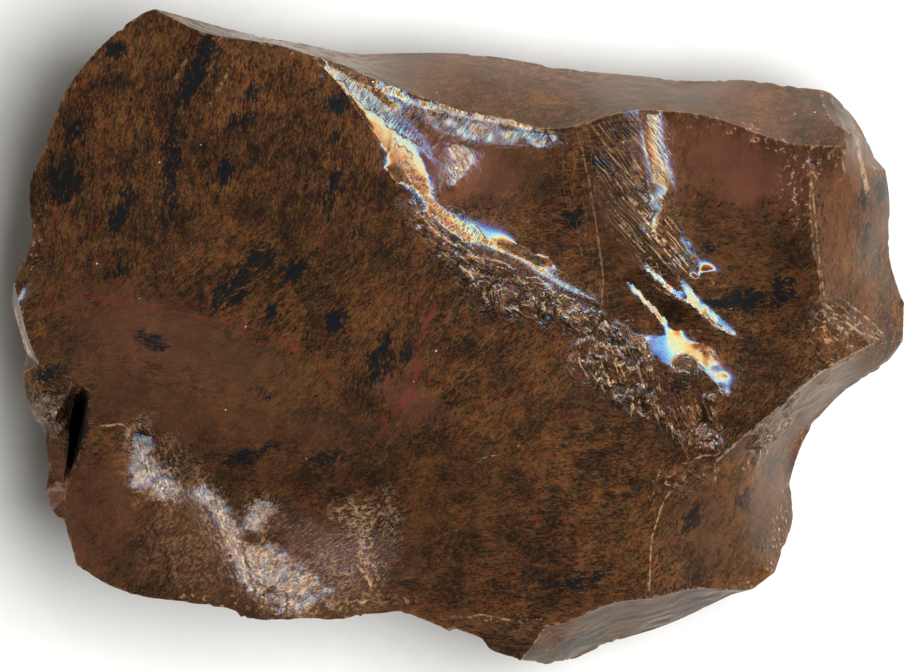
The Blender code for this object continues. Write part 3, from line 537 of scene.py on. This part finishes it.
def smoothest_change(corner, vectors, weight, wanted, fixed, count):
    """The heights, by conjugate gradients, whose slopes come nearest to the wanted change of slope."""
    def pushed(flow):
        pushes = np.einsum("fd,fcd->fc", flow * weight, vectors)
        total = np.bincount(corner.ravel(), pushes.ravel(), count)
        total[fixed] = 0
        return total

    stiffness = np.einsum("fd,fcd->fc", weight, vectors ** 2)
    stiffness = np.bincount(corner.ravel(), stiffness.ravel(), count) + ANCHOR_HOLD
    change = np.zeros(count)
    residual = pushed(wanted)
    relaxed = residual / stiffness
    step = relaxed.copy()
    size = residual @ relaxed
    for _ in range(GLEAM_STEPS):
        slopes = np.einsum("fc,fcd->fd", step[corner], vectors)
        image = pushed(slopes) + ANCHOR_HOLD * step * ~fixed
        length = size / (step @ image)
        change += length * step
        residual -= length * image
        relaxed = residual / stiffness
        smaller = residual @ relaxed
        step = relaxed + smaller / size * step
        size = smaller
    return change


def turned_to_lamp(points, faces):
    """The points raised or lowered, so that the gleams send the lamp's light straight up and the quiet patches
    don't. The change is the smoothest one that does this."""
    centres = points[faces].mean(axis=1)
    plan = centres[:, :2]
    ragged = noise_at(centres, RAGGED_SIZE, 8)
    extra = np.full(len(faces), np.nan)
    quiet = np.full(len(faces), np.nan)
    near = np.zeros(len(faces), bool)
    for middle, spread, uneven, polygon in GLEAMS.values():
        inside = distance_inside(plan, polygon)
        patch = inside + (RAGGED_EDGE + UNEVEN_EDGE * uneven) * ragged > 0
        away = (plan - np.mean(polygon, axis=0) / TENTHS) @ UPPER_RIGHT
        width = max(2 * away[patch].std(), LEAST_WIDTH)
        extra[patch] = (middle + spread * np.clip(away / width, -1, 1) + uneven * ragged)[patch]
        near |= inside > -GLEAM_MARGIN
    for slope, polygon in QUIET.values():
        inside = distance_inside(plan, polygon)
        quiet[inside > 0] = slope
        near |= inside > -GLEAM_MARGIN
    near &= unit(face_vectors(points, faces))[:, 2] > LEAST_UPWARD
    extra, quiet, local = extra[near], quiet[near], faces[near]
    held = ~(np.isnan(extra) & np.isnan(quiet))
    area, vectors = plan_gradients(points, local)
    weight = area[:, None] * np.where(held[:, None], (GLEAM_HOLD_ALONG, GLEAM_HOLD), REST_HOLD)
    used, corner = np.unique(local, return_inverse=True)
    corner = corner.reshape(-1, 3)
    fixed = np.isin(used, faces[~near])
    points = points.copy()
    for _ in range(GLEAM_ROUNDS):
        slope = np.einsum("fc,fcd->fd", points[local][:, :, 2], vectors)
        lit = LAMP_TAN - np.sqrt(np.maximum(LAMP_TAN ** 2 + 1 - slope[:, 0] ** 2, 0))
        wanted = np.zeros_like(slope)
        goal = np.where(np.isnan(extra), quiet, lit + extra)
        wanted[held, 1] = goal[held] - slope[held, 1]
        points[used, 2] += smoothest_change(corner, vectors, weight, wanted, fixed, len(used))
    return points


# ---- relief
def hatch_mask(plan, polygon, middle, broad):
    """1 well inside the polygon, 0 outside it, with an uneven soft edge."""
    inside = distance_inside(plan, polygon) + EDGE_WANDER[1] * middle + EDGE_WANDER[0] * broad
    return smooth_step(inside, -HATCH_EDGE, HATCH_EDGE)


def turned_plan(plan, turn):
    """The places along and across a direction given in degrees from +X."""
    angle = math.radians(turn)
    return plan @ np.array([[math.cos(angle), -math.sin(angle)], [math.sin(angle), math.cos(angle)]])


def hatch_fields(points, upward):
    """Where each point lies in the hatch that covers it, and the height and paleness of its lines."""
    plan = points[:, :2]
    broad = noise_at(points, BROAD, 1)
    middle = noise_at(points, MIDDLE, 2)
    wander = LINE_WANDER[0] * broad + LINE_WANDER[1] * middle
    best = np.full(len(points), LEAST_MASK)
    place = np.zeros((len(points), 3))
    rise = np.zeros(len(points))
    pale = np.zeros(len(points))

    def lay(mask, turn, along, across, most_rise, most_pale):
        over = mask > best
        place[over] = np.stack([along, across, np.full(len(points), HATCH_APART * turn)], axis=1)[over]
        for field, most in ((rise, most_rise), (pale, most_pale), (best, 1)):
            field[over] = (mask * most)[over]

    for turn, length, spacing, _, fine_rise, whiteness, polygon in HATCHES.values():
        mask = upward * hatch_mask(plan, polygon, middle, broad)
        along, across = turned_plan(plan, turn).T
        lay(mask, turn, along / length, (across + wander) / spacing, fine_rise, whiteness)
    for centre, outer, spacing, fine_rise, whiteness in RINGS:
        away = plan - np.array(centre) / TENTHS
        distance = np.linalg.norm(away, axis=1)
        outside = smooth_step(distance + RING_WANDER * middle, RING_FULL * outer, outer)
        mask = upward * RING_WEIGHT * (1 - outside)
        arc = np.arctan2(np.abs(away[:, 1]), away[:, 0])
        lay(mask, 0, arc / RING_ARC, (distance + RING_WANDER * wander) / spacing, fine_rise, whiteness)
    return place, rise, pale


def relief(points, faces):
    """How far each point is raised out of the surface, in millimetres, and how crushed the stone is there."""
    plan = points[:, :2]
    facing = vertex_normals(points, faces)[:, 2]
    upward = smooth_step(facing, *RELIEF_UPWARD)
    broad = noise_at(points, BROAD, 1)
    middle = noise_at(points, MIDDLE, 2)
    close = noise_at(points, CLOSE, 3)
    height = UNEVEN_HEIGHT * broad
    side = smooth_step(1 - np.abs(facing), *CHIPPED_STEEPNESS) * smooth_step(points[:, 2], *CHIPPED_HEIGHT)
    for size, depth in RIM_CHIPS:
        height -= side * depth * np.abs(noise_at(points, size, 9))
    for centre, radius, rise in DOMES.values():
        away = np.linalg.norm(plan - np.array(centre) / TENTHS, axis=1) / radius
        height += upward * rise * np.clip(1 - away ** 2, 0, 1) ** 2
    crushed = np.zeros(len(points))
    for name, (turn, _, spacing, rise, _, _, polygon) in HATCHES.items():
        mask = upward * hatch_mask(plan, polygon, middle, broad)
        across = turned_plan(plan, turn)[:, 1] + WAVE_WANDER[0] * broad + WAVE_WANDER[1] * middle
        # A wave with broad troughs and narrow crests.
        wave = 1 - np.abs(np.sin(across * math.pi / (spacing * HATCH_WAVE)))
        height += mask * rise * wave * (WAVE_STEADY + WAVE_UNEVEN * middle)
        if name in CRUSHED:
            crushed = np.maximum(crushed, mask)
    warped = plan + FLAKE_WANDER * np.stack([broad, middle], axis=1)
    shattered = flakes(warped, FLAKE_WIDTH, 11) + flakes(warped, FLAKE_WIDTH / 2, 12)
    height += crushed * (shattered + CHIP_HEIGHT * close)
    return height, crushed


def flakes(plan, spacing, seed):
    """Heights of a shattered surface: flakes about this wide, each tilted its own way and a little hollow."""
    random = np.random.default_rng(seed)
    low = plan.min(axis=0) - spacing
    count = np.ceil((plan.max(axis=0) - low) / spacing).astype(int) + 2
    seeds = low + (np.indices(count).transpose(1, 2, 0) + random.uniform(0, 1, (*count, 2))) * spacing
    tilts = random.normal(0, FLAKE_TILT, (*count, 2))
    cell = ((plan - low) / spacing).astype(int)
    nearest = np.full(len(plan), np.inf)
    height = np.zeros(len(plan))
    for step in np.ndindex(3, 3):
        row, column = np.clip(cell + step - 1, 0, count - 1).T
        away = plan - seeds[row, column]
        distance = np.linalg.norm(away, axis=1)
        lean = np.einsum("ij,ij->i", away, tilts[row, column])
        closer = distance < nearest
        height[closer] = (lean + FLAKE_HOLLOW * distance ** 2 / spacing)[closer]
        nearest[closer] = distance[closer]
    return height


def near_ridges(faces, ridges, count):
    """1 on a ridge and 0 three edges away from it."""
    share = np.zeros(count)
    share[ridges.ravel()] = 1
    edges, _ = edges_of(faces)
    for _ in range(2):
        spread = np.bincount(edges.ravel(), share[edges[:, ::-1]].ravel(), count)
        share = np.maximum(share, spread / np.bincount(edges.ravel(), minlength=count))
    return share


# ---- where the colours lie, at each point
def blobs(plan, table, wobble):
    """The strongest of the ellipses at each point, from 0 to 1, with uneven edges."""
    share = np.zeros(len(plan))
    for centre, length, width, turn, strength in table:
        along, across = turned_plan(plan - np.array(centre) / TENTHS, turn).T
        reach = np.hypot(along / length, across / width) + wobble
        share = np.maximum(share, strength * (1 - smooth_step(reach, *BLOB_FADE)))
    return share


def line_fields(plan, table):
    """Each point's signed distance to the nearest line, in its half widths, and how much the line shows."""
    nearest = np.full(len(plan), np.inf)
    side = np.zeros(len(plan))
    share = np.zeros(len(plan))
    for line, width, strength in table:
        line = np.array(line) / TENTHS
        tapered = strength * smooth_step(np.linalg.norm(plan - line[0], axis=1), 0, TAPER)
        tapered *= smooth_step(np.linalg.norm(plan - line[-1], axis=1), 0, TAPER)
        for start, end in zip(line[:-1], line[1:]):
            along = end - start
            away = plan - start
            distance = distance_to_line(plan, start, end)
            left = np.sign(along[0] * away[:, 1] - along[1] * away[:, 0])
            closer = distance < nearest
            nearest[closer] = distance[closer]
            side[closer] = (left * distance / width)[closer]
            share[closer] = (tapered * (1 - smooth_step(distance, *LINE_FADE)))[closer]
    return side, share


def grain_shares(plan):
    """How much of each streak direction shows at each point."""
    places = np.array([place for place, _ in GRAIN]) / TENTHS
    turns = np.radians([turn for _, turn in GRAIN]) * 2
    away = np.linalg.norm(plan[:, None] - places[None], axis=2)
    weight = 1 / (away ** 2 + GRAIN_REACH ** 2) ** 1.5
    mean = weight @ np.stack([np.cos(turns), np.sin(turns)], axis=1)
    angle = np.degrees(np.arctan2(mean[:, 1], mean[:, 0])) / 2
    apart = [np.abs((angle - turn + 90) % 180 - 90) for turn in GRAIN_TURNS]
    shares = np.exp(-(np.array(apart) / GRAIN_SPREAD) ** 2) + LEAST_SHARE
    return shares / shares.sum(axis=0)


# ---- materials
def colour(red, green, blue):
    """A shader colour from its screen values, 0 to 255."""
    def linear(value):
        share = value / 255
        return share / 12.92 if share <= 0.04045 else ((share + 0.055) / 1.055) ** 2.4
    return linear(red), linear(green), linear(blue), 1


# The glass from its darkest to its lightest, with its place on the scale of light glass.
GLASS_TONES = ((0.48, colour(18, 18, 18)), (0.55, colour(30, 21, 14)), (0.62, colour(47, 31, 19)),
               (0.68, colour(70, 45, 25)), (0.78, colour(99, 62, 33)))
DARK_GLASS = GLASS_TONES[1][1]
CLEAR_GLASS = colour(68, 49, 34)
RED_GLASS = colour(88, 53, 41)
VEIN_RED = colour(92, 36, 28)
BLUE_BLACK = colour(14, 19, 24)
OLIVE_TINT = (0.85, 0.93, 0.82, 1)
RED_TINT = (1.0, 0.77, 0.82, 1)
# The pale colour of crushed and frosted glass, worn ridges and hackle crests, and of the painted highlights and
# sheen.
FROST_AND_HIGHLIGHT = colour(152, 122, 92)
DUST = colour(205, 200, 190)
# Sizes in millimetres: the streaks along and across, the patches, the specks and the grit.
FINE_STREAKS = (0.44, 0.18)
MIDDLING_STREAKS = (1.3, 0.55)
PATCH_SIZE = 4.0
HUE_SIZE = 1.1
SPECK_SIZE = 0.11
GRIT_SIZE = 0.5
DUST_SPACING = 1.9
# The size of noise at a place that is divided by the noise's size beforehand.
SCALED = 1 / MM
# The share of light glass: the weights of its four noises, its value and pull in clear glass, and how much a
# black cloud takes away, and the painted shade among the clouds too.
FINE_WEIGHT, MIDDLING_WEIGHT, PATCH_WEIGHT, SPECK_WEIGHT = 0.38, 0.30, 0.33, 0.27
CLEAR_LIGHT, CLEAR_PULL = 0.68, 0.56
CLOUD_AND_SHADE_DARKENS = 0.19
# How a dust speck is chosen among the cells of its pattern, its radius in spacings and how much it covers.
DUST_ABOVE, DUST_RADIUS, DUST_COVERS = 0.8, 0.045, 0.55
REFRACTION = 1.5
# The roughness of polished glass, and what frost and patches add.
POLISHED, FROST_ROUGHENS, PATCH_ROUGHENS = 0.10, 0.13, 0.08
# Heights of the finest relief, in thousandths of a millimetre.
FROST_BUMP = 12.0
GRIT_BUMP = 50.0
SKIN_BUMP = 0.6


class Graph:
    """Short ways to add nodes to one tree. Plain numbers set a socket and outputs are linked to it."""

    def __init__(self, tree):
        self.tree = tree

    def put(self, socket, value):
        if isinstance(value, bpy.types.NodeSocket):
            self.tree.links.new(value, socket)
        else:
            socket.default_value = value

    def node(self, kind, inputs=(), **settings):
        """The outputs of a new shader node of this kind."""
        node = self.tree.nodes.new(f"ShaderNode{kind}")
        for name, value in settings.items():
            setattr(node, name, value)
        for name, value in dict(inputs).items():
            self.put(node.inputs[name], value)
        return node.outputs

    def maths(self, operation, *values, clamp=False):
        return self.node("Math", enumerate(values), operation=operation, use_clamp=clamp)[0]

    def product(self, first, *others):
        for other in others:
            first = self.maths("MULTIPLY", first, other)
        return first

    def sum_of(self, *weighted):
        """The sum of the values, each given with its weight."""
        total = 0.0
        for value, weight in weighted:
            total = self.maths("MULTIPLY_ADD", value, weight, total)
        return total

    def ramp(self, value, start, end):
        """0 where the value is at the start or less, 1 from the end on, and soft between."""
        inputs = {"Value": value, "From Min": start, "From Max": end}
        return self.node("MapRange", inputs, interpolation_type="SMOOTHSTEP")["Result"]

    def mix(self, share, first, second, blend="MIX"):
        inputs = {"Factor": share, 6: first, 7: second}
        return self.node("Mix", inputs, data_type="RGBA", blend_type=blend)[2]

    def attribute(self, name, output="Fac"):
        return self.node("Attribute", attribute_name=name)[output]

    def turned(self, place, turn, along, across):
        """The place turned about +Z and divided by the pattern's size along the turn and across it."""
        inputs = {"Vector": place, "Angle": -math.radians(turn)}
        spun = self.node("VectorRotate", inputs, rotation_type="Z_AXIS")[0]
        scale = (1 / (along * MM), 1 / (across * MM), 1 / (across * MM))
        return self.node("VectorMath", {0: spun, 1: scale}, operation="MULTIPLY")[0]

    def noise(self, place, size, detail=2.0, rough=0.5, output="Fac"):
        """Noise with lumps of this size in millimetres."""
        inputs = {"Vector": place, "Scale": 1 / (size * MM), "Detail": detail, "Roughness": rough}
        return self.node("TexNoise", inputs)[output]

    def warped(self, place, size, reach):
        """The place pushed about by soft noise of this size, by less than this reach."""
        inputs = {0: self.noise(place, size, 1.0, output="Color"), 1: (0.5, 0.5, 0.5)}
        centred = self.node("VectorMath", inputs, operation="SUBTRACT")[0]
        inputs = {0: centred, 1: (2 * reach * MM,) * 3, 2: place}
        return self.node("VectorMath", inputs, operation="MULTIPLY_ADD")[0]

    def line(self, name, uneven):
        """1 on the lines of this name, with an uneven width, and 0 away from them."""
        side = self.maths("SUBTRACT", self.attribute(f"{name}_side"), 1.2)
        side = self.maths("MULTIPLY_ADD", uneven, 2.4, side)
        near = self.maths("SUBTRACT", 1, self.ramp(self.maths("ABSOLUTE", side), 0.5, 1.3))
        return self.product(near, self.ramp(uneven, 0.4, 0.56), self.attribute(f"{name}_share"))

    def streaks(self, place, along, across, detail):
        """Streaky noise that follows the grain: one noise for each direction, mixed by its share."""
        return self.sum_of(*(
            (self.noise(self.turned(place, turn, along, across), SCALED, detail, 0.55),
             self.attribute(f"grain_{number}")) for number, turn in enumerate(GRAIN_TURNS)))


def new_material(name):
    """A new material, its graph and the inputs of its shader."""
    material = bpy.data.materials.new(name)
    material.use_nodes = True
    tree = material.node_tree
    return material, Graph(tree), tree.nodes["Principled BSDF"].inputs


def glass_tones(graph, light):
    """The glass's colour from its share of light glass."""
    node = graph.tree.nodes.new("ShaderNodeValToRGB")
    graph.put(node.inputs["Fac"], light)
    elements = node.color_ramp.elements
    while len(elements) < len(GLASS_TONES):
        elements.new(0.5)
    for element, (position, shade) in zip(elements, GLASS_TONES):
        element.position = position
        element.color = shade
    return node.outputs["Color"]


def mahogany_glass():
    """Volcanic glass: brown and black streaks, black clouds, red veins, frosted chips and specks of dust. Some
    of the black clouds are painted shade, and some pale marks are painted highlights and sheen.
    """
    material, graph, shader = new_material("mahogany_obsidian")
    maths, ramp, product, mix = graph.maths, graph.ramp, graph.product, graph.mix
    clear, clouded_and_shaded, reddish, ridge, crushed, frosted_and_sheen, chipped_and_highlights, hatch_rise, hatch_pale = map(graph.attribute, (
        "clear", "cloud_and_shade", "reddish", "ridge", "crushed", "frosted_and_sheen", "chipped_and_highlights", "hatch_rise", "hatch_pale"))
    place = graph.node("TexCoord")["Object"]
    wavy = graph.warped(place, 2.2, 0.3)
    fine = graph.streaks(wavy, *FINE_STREAKS, 2.0)
    middling = graph.streaks(wavy, *MIDDLING_STREAKS, 3.0)
    patch = graph.noise(wavy, PATCH_SIZE, 4.0, 0.6)
    speck = graph.noise(place, SPECK_SIZE, 1.0)
    hues = graph.node("SeparateColor", {0: graph.noise(wavy, HUE_SIZE, 3.0, 0.65, "Color")})
    ragged = maths("ADD", middling, fine)
    cloud_and_shade = ramp(maths("MULTIPLY_ADD", ragged, -1.7, maths("ADD", clouded_and_shaded, 1.7)), 0.2, 1.3)
    # The share of light glass: less in the black clouds and the painted shade among them, more in the clear
    # glass.
    light = graph.sum_of((fine, FINE_WEIGHT), (middling, MIDDLING_WEIGHT), (patch, PATCH_WEIGHT),
                         (speck, SPECK_WEIGHT))
    lacking = maths("SUBTRACT", CLEAR_LIGHT, light)
    light = maths("MULTIPLY_ADD", lacking, product(clear, CLEAR_PULL), light)
    light = maths("MULTIPLY_ADD", cloud_and_shade, -CLOUD_AND_SHADE_DARKENS, light)
    glass = glass_tones(graph, light)
    glass = mix(ramp(hues[0], 0.42, 0.66), glass, OLIVE_TINT, "MULTIPLY")
    glass = mix(ramp(hues[1], 0.44, 0.66), glass, RED_TINT, "MULTIPLY")
    # Black clouds, and the painted shade in the crack and along the fold, turn blue-black.
    glass = mix(product(cloud_and_shade, 0.6), glass, BLUE_BLACK)
    glass = mix(product(clear, maths("MULTIPLY_ADD", cloud_and_shade, -0.3, 0.35)), glass, CLEAR_GLASS)
    red = product(reddish, maths("MULTIPLY_ADD", ramp(patch, 0.35, 0.65), 0.4, 0.4))
    glass = mix(red, glass, mix(ramp(light, 0.44, 0.6), DARK_GLASS, RED_GLASS))
    glass = mix(product(graph.line("vein", middling), 0.8), glass, VEIN_RED)
    # Crushed glass is pale with tiny cracks, and so are worn ridges, scratches and the crests of hackles. A few
    # pale lines and chips are painted highlights, and the brushed streaks of the dull glass are partly a
    # painted sheen.
    grit = graph.noise(graph.warped(place, 1.2, 0.5), GRIT_SIZE, 3.0, 0.62)
    lines = graph.noise(graph.attribute("hatch_place", "Vector"), SCALED, 2.0, 0.55)
    crest = product(ramp(lines, 0.55, 0.66), ramp(grit, 0.36, 0.58), hatch_pale)
    outside_cloud_and_shade = maths("SUBTRACT", 1, clouded_and_shaded, clamp=True)
    worn = product(ramp(ridge, 0.55, 0.9), ramp(grit, 0.48, 0.6), outside_cloud_and_shade, 0.35)
    # Bright chips are pale, and so are the painted highlights among them.
    chips_and_highlights = product(ramp(grit, 0.585, 0.65), chipped_and_highlights)
    # Brushed pale streaks in the dull glass: partly frosted glass, partly a painted sheen over the lamp's
    # sheens.
    brushed_frost_and_sheen = product(ramp(maths("ADD", maths("ADD", lines, fine), grit), 1.42, 1.75), frosted_and_sheen, 0.7)
    pale = graph.line("pale", grit)
    for mark in (worn, chips_and_highlights, crest, brushed_frost_and_sheen):
        pale = maths("MAXIMUM", pale, mark)
    glass = mix(pale, glass, FROST_AND_HIGHLIGHT)
    # Dust: a few small round specks.
    dust = graph.node("TexVoronoi", {"Vector": place, "Scale": 1 / (DUST_SPACING * MM)})
    chosen = maths("GREATER_THAN", graph.node("SeparateColor", {0: dust["Color"]})[0], DUST_ABOVE)
    inside = maths("LESS_THAN", dust["Distance"], DUST_RADIUS)
    glass = mix(product(chosen, inside, DUST_COVERS), glass, DUST)
    graph.put(shader["Base Color"], glass)
    rough = maths("MULTIPLY_ADD", frosted_and_sheen, FROST_ROUGHENS, POLISHED)
    graph.put(shader["Roughness"], maths("MULTIPLY_ADD", patch, PATCH_ROUGHENS, rough))
    shader["IOR"].default_value = REFRACTION
    # Fine relief: hackles, grit, brushed frost and a slight unevenness of the skin.
    relief = graph.sum_of((ramp(lines, 0.45, 0.55), hatch_rise), (product(grit, crushed), GRIT_BUMP),
                          (product(grit, frosted_and_sheen), FROST_BUMP), (speck, SKIN_BUMP))
    bump = graph.node("Bump", {"Height": relief, "Distance": MICRON * MM, "Strength": 1.0})
    graph.put(shader["Normal"], bump["Normal"])
    return material


def floor_material():
    """Matt white card."""
    material, graph, shader = new_material("white_card")
    grain = graph.noise(graph.node("TexCoord")["Object"], 2, 3.0)
    graph.put(shader["Base Color"], graph.mix(grain, colour(240, 240, 238), colour(246, 246, 243)))
    shader["Roughness"].default_value = 0.9
    shader["Specular IOR Level"].default_value = 0.1
    return material


# ---- the stone
def put_attribute(mesh, name, values):
    attribute = mesh.attributes.new(name, "FLOAT", "POINT")
    attribute.data.foreach_set("value", np.asarray(values, np.float32))


def dress(mesh, points, faces, ridges, crushed):
    """Puts on the mesh where its colours, lines and fine relief lie."""
    plan = points[:, :2]
    wobble = sum(reach * noise_at(points, size, seed) for reach, size, seed in BLOB_WOBBLES)
    upward = smooth_step(vertex_normals(points, faces)[:, 2], *COLOUR_UPWARD)
    for name, table in BLOBS.items():
        put_attribute(mesh, name, blobs(plan, table, wobble) * upward)
    for name, table in LINES.items():
        side, share = line_fields(plan, table)
        put_attribute(mesh, f"{name}_side", side)
        put_attribute(mesh, f"{name}_share", share * upward)
    put_attribute(mesh, "crushed", crushed)
    put_attribute(mesh, "ridge", near_ridges(faces, ridges, len(points)))
    hatch_place, hatch_rise, hatch_pale = hatch_fields(points, upward)
    put_attribute(mesh, "hatch_rise", hatch_rise / MICRON)
    put_attribute(mesh, "hatch_pale", hatch_pale)
    places = mesh.attributes.new("hatch_place", "FLOAT_VECTOR", "POINT")
    places.data.foreach_set("vector", hatch_place.astype(np.float32).ravel())
    for number, share in enumerate(grain_shares(plan)):
        put_attribute(mesh, f"grain_{number}", share)


def new_object(name, data):
    made = bpy.data.objects.new(name, data)
    bpy.context.scene.collection.objects.link(made)
    return made


def stone_piece(node):
    points, faces, ridges = fine_mesh(*solid_arrays(node))
    points = turned_to_lamp(points, faces)
    height, crushed = relief(points, faces)
    points += height[:, None] * vertex_normals(points, faces)
    mesh = bpy.data.meshes.new("obsidian_stone")
    mesh.from_pydata((points * MM).tolist(), [], faces.tolist())
    mesh.update()
    dress(mesh, points, faces, ridges, crushed)
    for polygon in mesh.polygons:
        polygon.use_smooth = True
    ends = np.zeros(len(mesh.edges) * 2, np.int64)
    mesh.edges.foreach_get("vertices", ends)
    sharp = mesh.attributes.new("sharp_edge", "BOOLEAN", "EDGE")
    sharp.data.foreach_set("value", among(ends.reshape(-1, 2), ridges, len(points)))
    mesh.materials.append(mahogany_glass())
    print(f"the stone has {len(faces)} triangles")
    return new_object("obsidian_stone", mesh)


# ---- floor, lamps and camera
FLOOR_SIDE = 8.0
CAMERA_LENS = 1000
SENSOR = 36
PICTURE_WIDTH = 0.08195
PICTURE_CENTRE = (-0.0002, 0.0001)
FOCUS_HEIGHT = 0.0245
LAMP_AWAY = 1.0
LAMP_SIZE = (3.0, 0.085)
LAMP_POWER = 22
# How far the lamp's red and blue strips lie below and above its green one, in degrees.
LAMP_SHIFT = 1.9
# The other lamps: (name, azimuth, rise, size, power).
FLOOR_KEY = ("floor_key", -9, 73, (0.55, 0.55), 13.7)
FILLS = tuple((name, azimuth, 16, (0.8, 0.5), power) for name, azimuth, power in (
    ("fill_right", 0, 29.0), ("fill_left", 180, 10.0), ("fill_front", 270, 10.0), ("fill_back", 90, 22.0)))
# The surround's brightness falls between two heights, and its front counts as higher than its back.
SURROUND = {"From Min": -0.62, "From Max": 0.03, "To Min": 0.62, "To Max": 0.07}
SURROUND_FRONT = -0.8
SURROUND_TINT = (1.0, 0.98, 0.90, 1)


def floor_piece():
    half = FLOOR_SIDE / 2
    mesh = bpy.data.meshes.new("floor")
    corners = [(-half, -half, 0), (half, -half, 0), (half, half, 0), (-half, half, 0)]
    mesh.from_pydata(corners, [], [(0, 1, 2, 3)])
    mesh.materials.append(floor_material())
    floor = new_object("floor", mesh)
    floor.visible_glossy = False
    return floor


def lamp(name, azimuth, rise, size, power, only, shade=(1, 1, 1), gloss=False, matt=True):
    """A rectangular lamp that shines on one object. Angles are in degrees: azimuth 0 is +X and 90 is +Y."""
    light = bpy.data.lights.new(name, "AREA")
    light.shape = "RECTANGLE"
    light.size, light.size_y = size
    light.energy = power
    light.color = shade
    holder = new_object(name, light)
    azimuth, rise = math.radians(azimuth), math.radians(rise)
    target = Vector((0, 0, FOCUS_HEIGHT / 2))
    direction = (math.cos(rise) * math.cos(azimuth), math.cos(rise) * math.sin(azimuth), math.sin(rise))
    holder.location = target + LAMP_AWAY * Vector(direction)
    holder.rotation_euler = (target - holder.location).to_track_quat("-Z", "Y").to_euler()
    holder.visible_camera = False
    holder.visible_glossy = gloss
    holder.visible_diffuse = matt
    receivers = bpy.data.collections.new(f"{name}_lights")
    receivers.objects.link(only)
    holder.light_linking.receiver_collection = receivers


def soft_surround():
    """A plain grey surround, darker overhead than at the sides and darker in front than behind."""
    world = bpy.data.worlds.new("surround")
    world.use_nodes = True
    graph = Graph(world.node_tree)
    background = graph.tree.nodes["Background"].inputs
    parts = graph.node("SeparateXYZ", {0: graph.node("TexCoord")["Generated"]})
    height = graph.maths("MULTIPLY_ADD", parts["Y"], SURROUND_FRONT, parts["Z"])
    strength = graph.node("MapRange", {"Value": height, **SURROUND})["Result"]
    graph.put(background["Strength"], strength)
    background["Color"].default_value = SURROUND_TINT
    bpy.context.scene.world = world


def camera():
    lens = bpy.data.cameras.new("camera")
    lens.lens = CAMERA_LENS
    lens.sensor_width = SENSOR
    holder = new_object("camera", lens)
    holder.location = (*PICTURE_CENTRE, FOCUS_HEIGHT + PICTURE_WIDTH * CAMERA_LENS / SENSOR)
    bpy.context.scene.camera = holder


def main():
    for startup in list(bpy.data.objects):
        bpy.data.objects.remove(startup)
    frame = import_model()
    stone = stone_piece(frame["nodes"][SOLID])
    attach(stone, "root")
    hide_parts(SOLID)
    floor = floor_piece()
    for name, shade, side in (("red", (1, 0, 0), -1), ("green", (0, 1, 0), 0), ("blue", (0, 0, 1), 1)):
        lamp(f"strip_{name}", 90, LAMP_RISE + side * LAMP_SHIFT, LAMP_SIZE, LAMP_POWER, stone, shade,
             gloss=True, matt=False)
    lamp(*FLOOR_KEY, floor)
    for fill in FILLS:
        lamp(*fill, stone)
    soft_surround()
    camera()
    settings = bpy.context.scene.view_settings
    settings.view_transform = "Standard"
    settings.look = "None"


main()
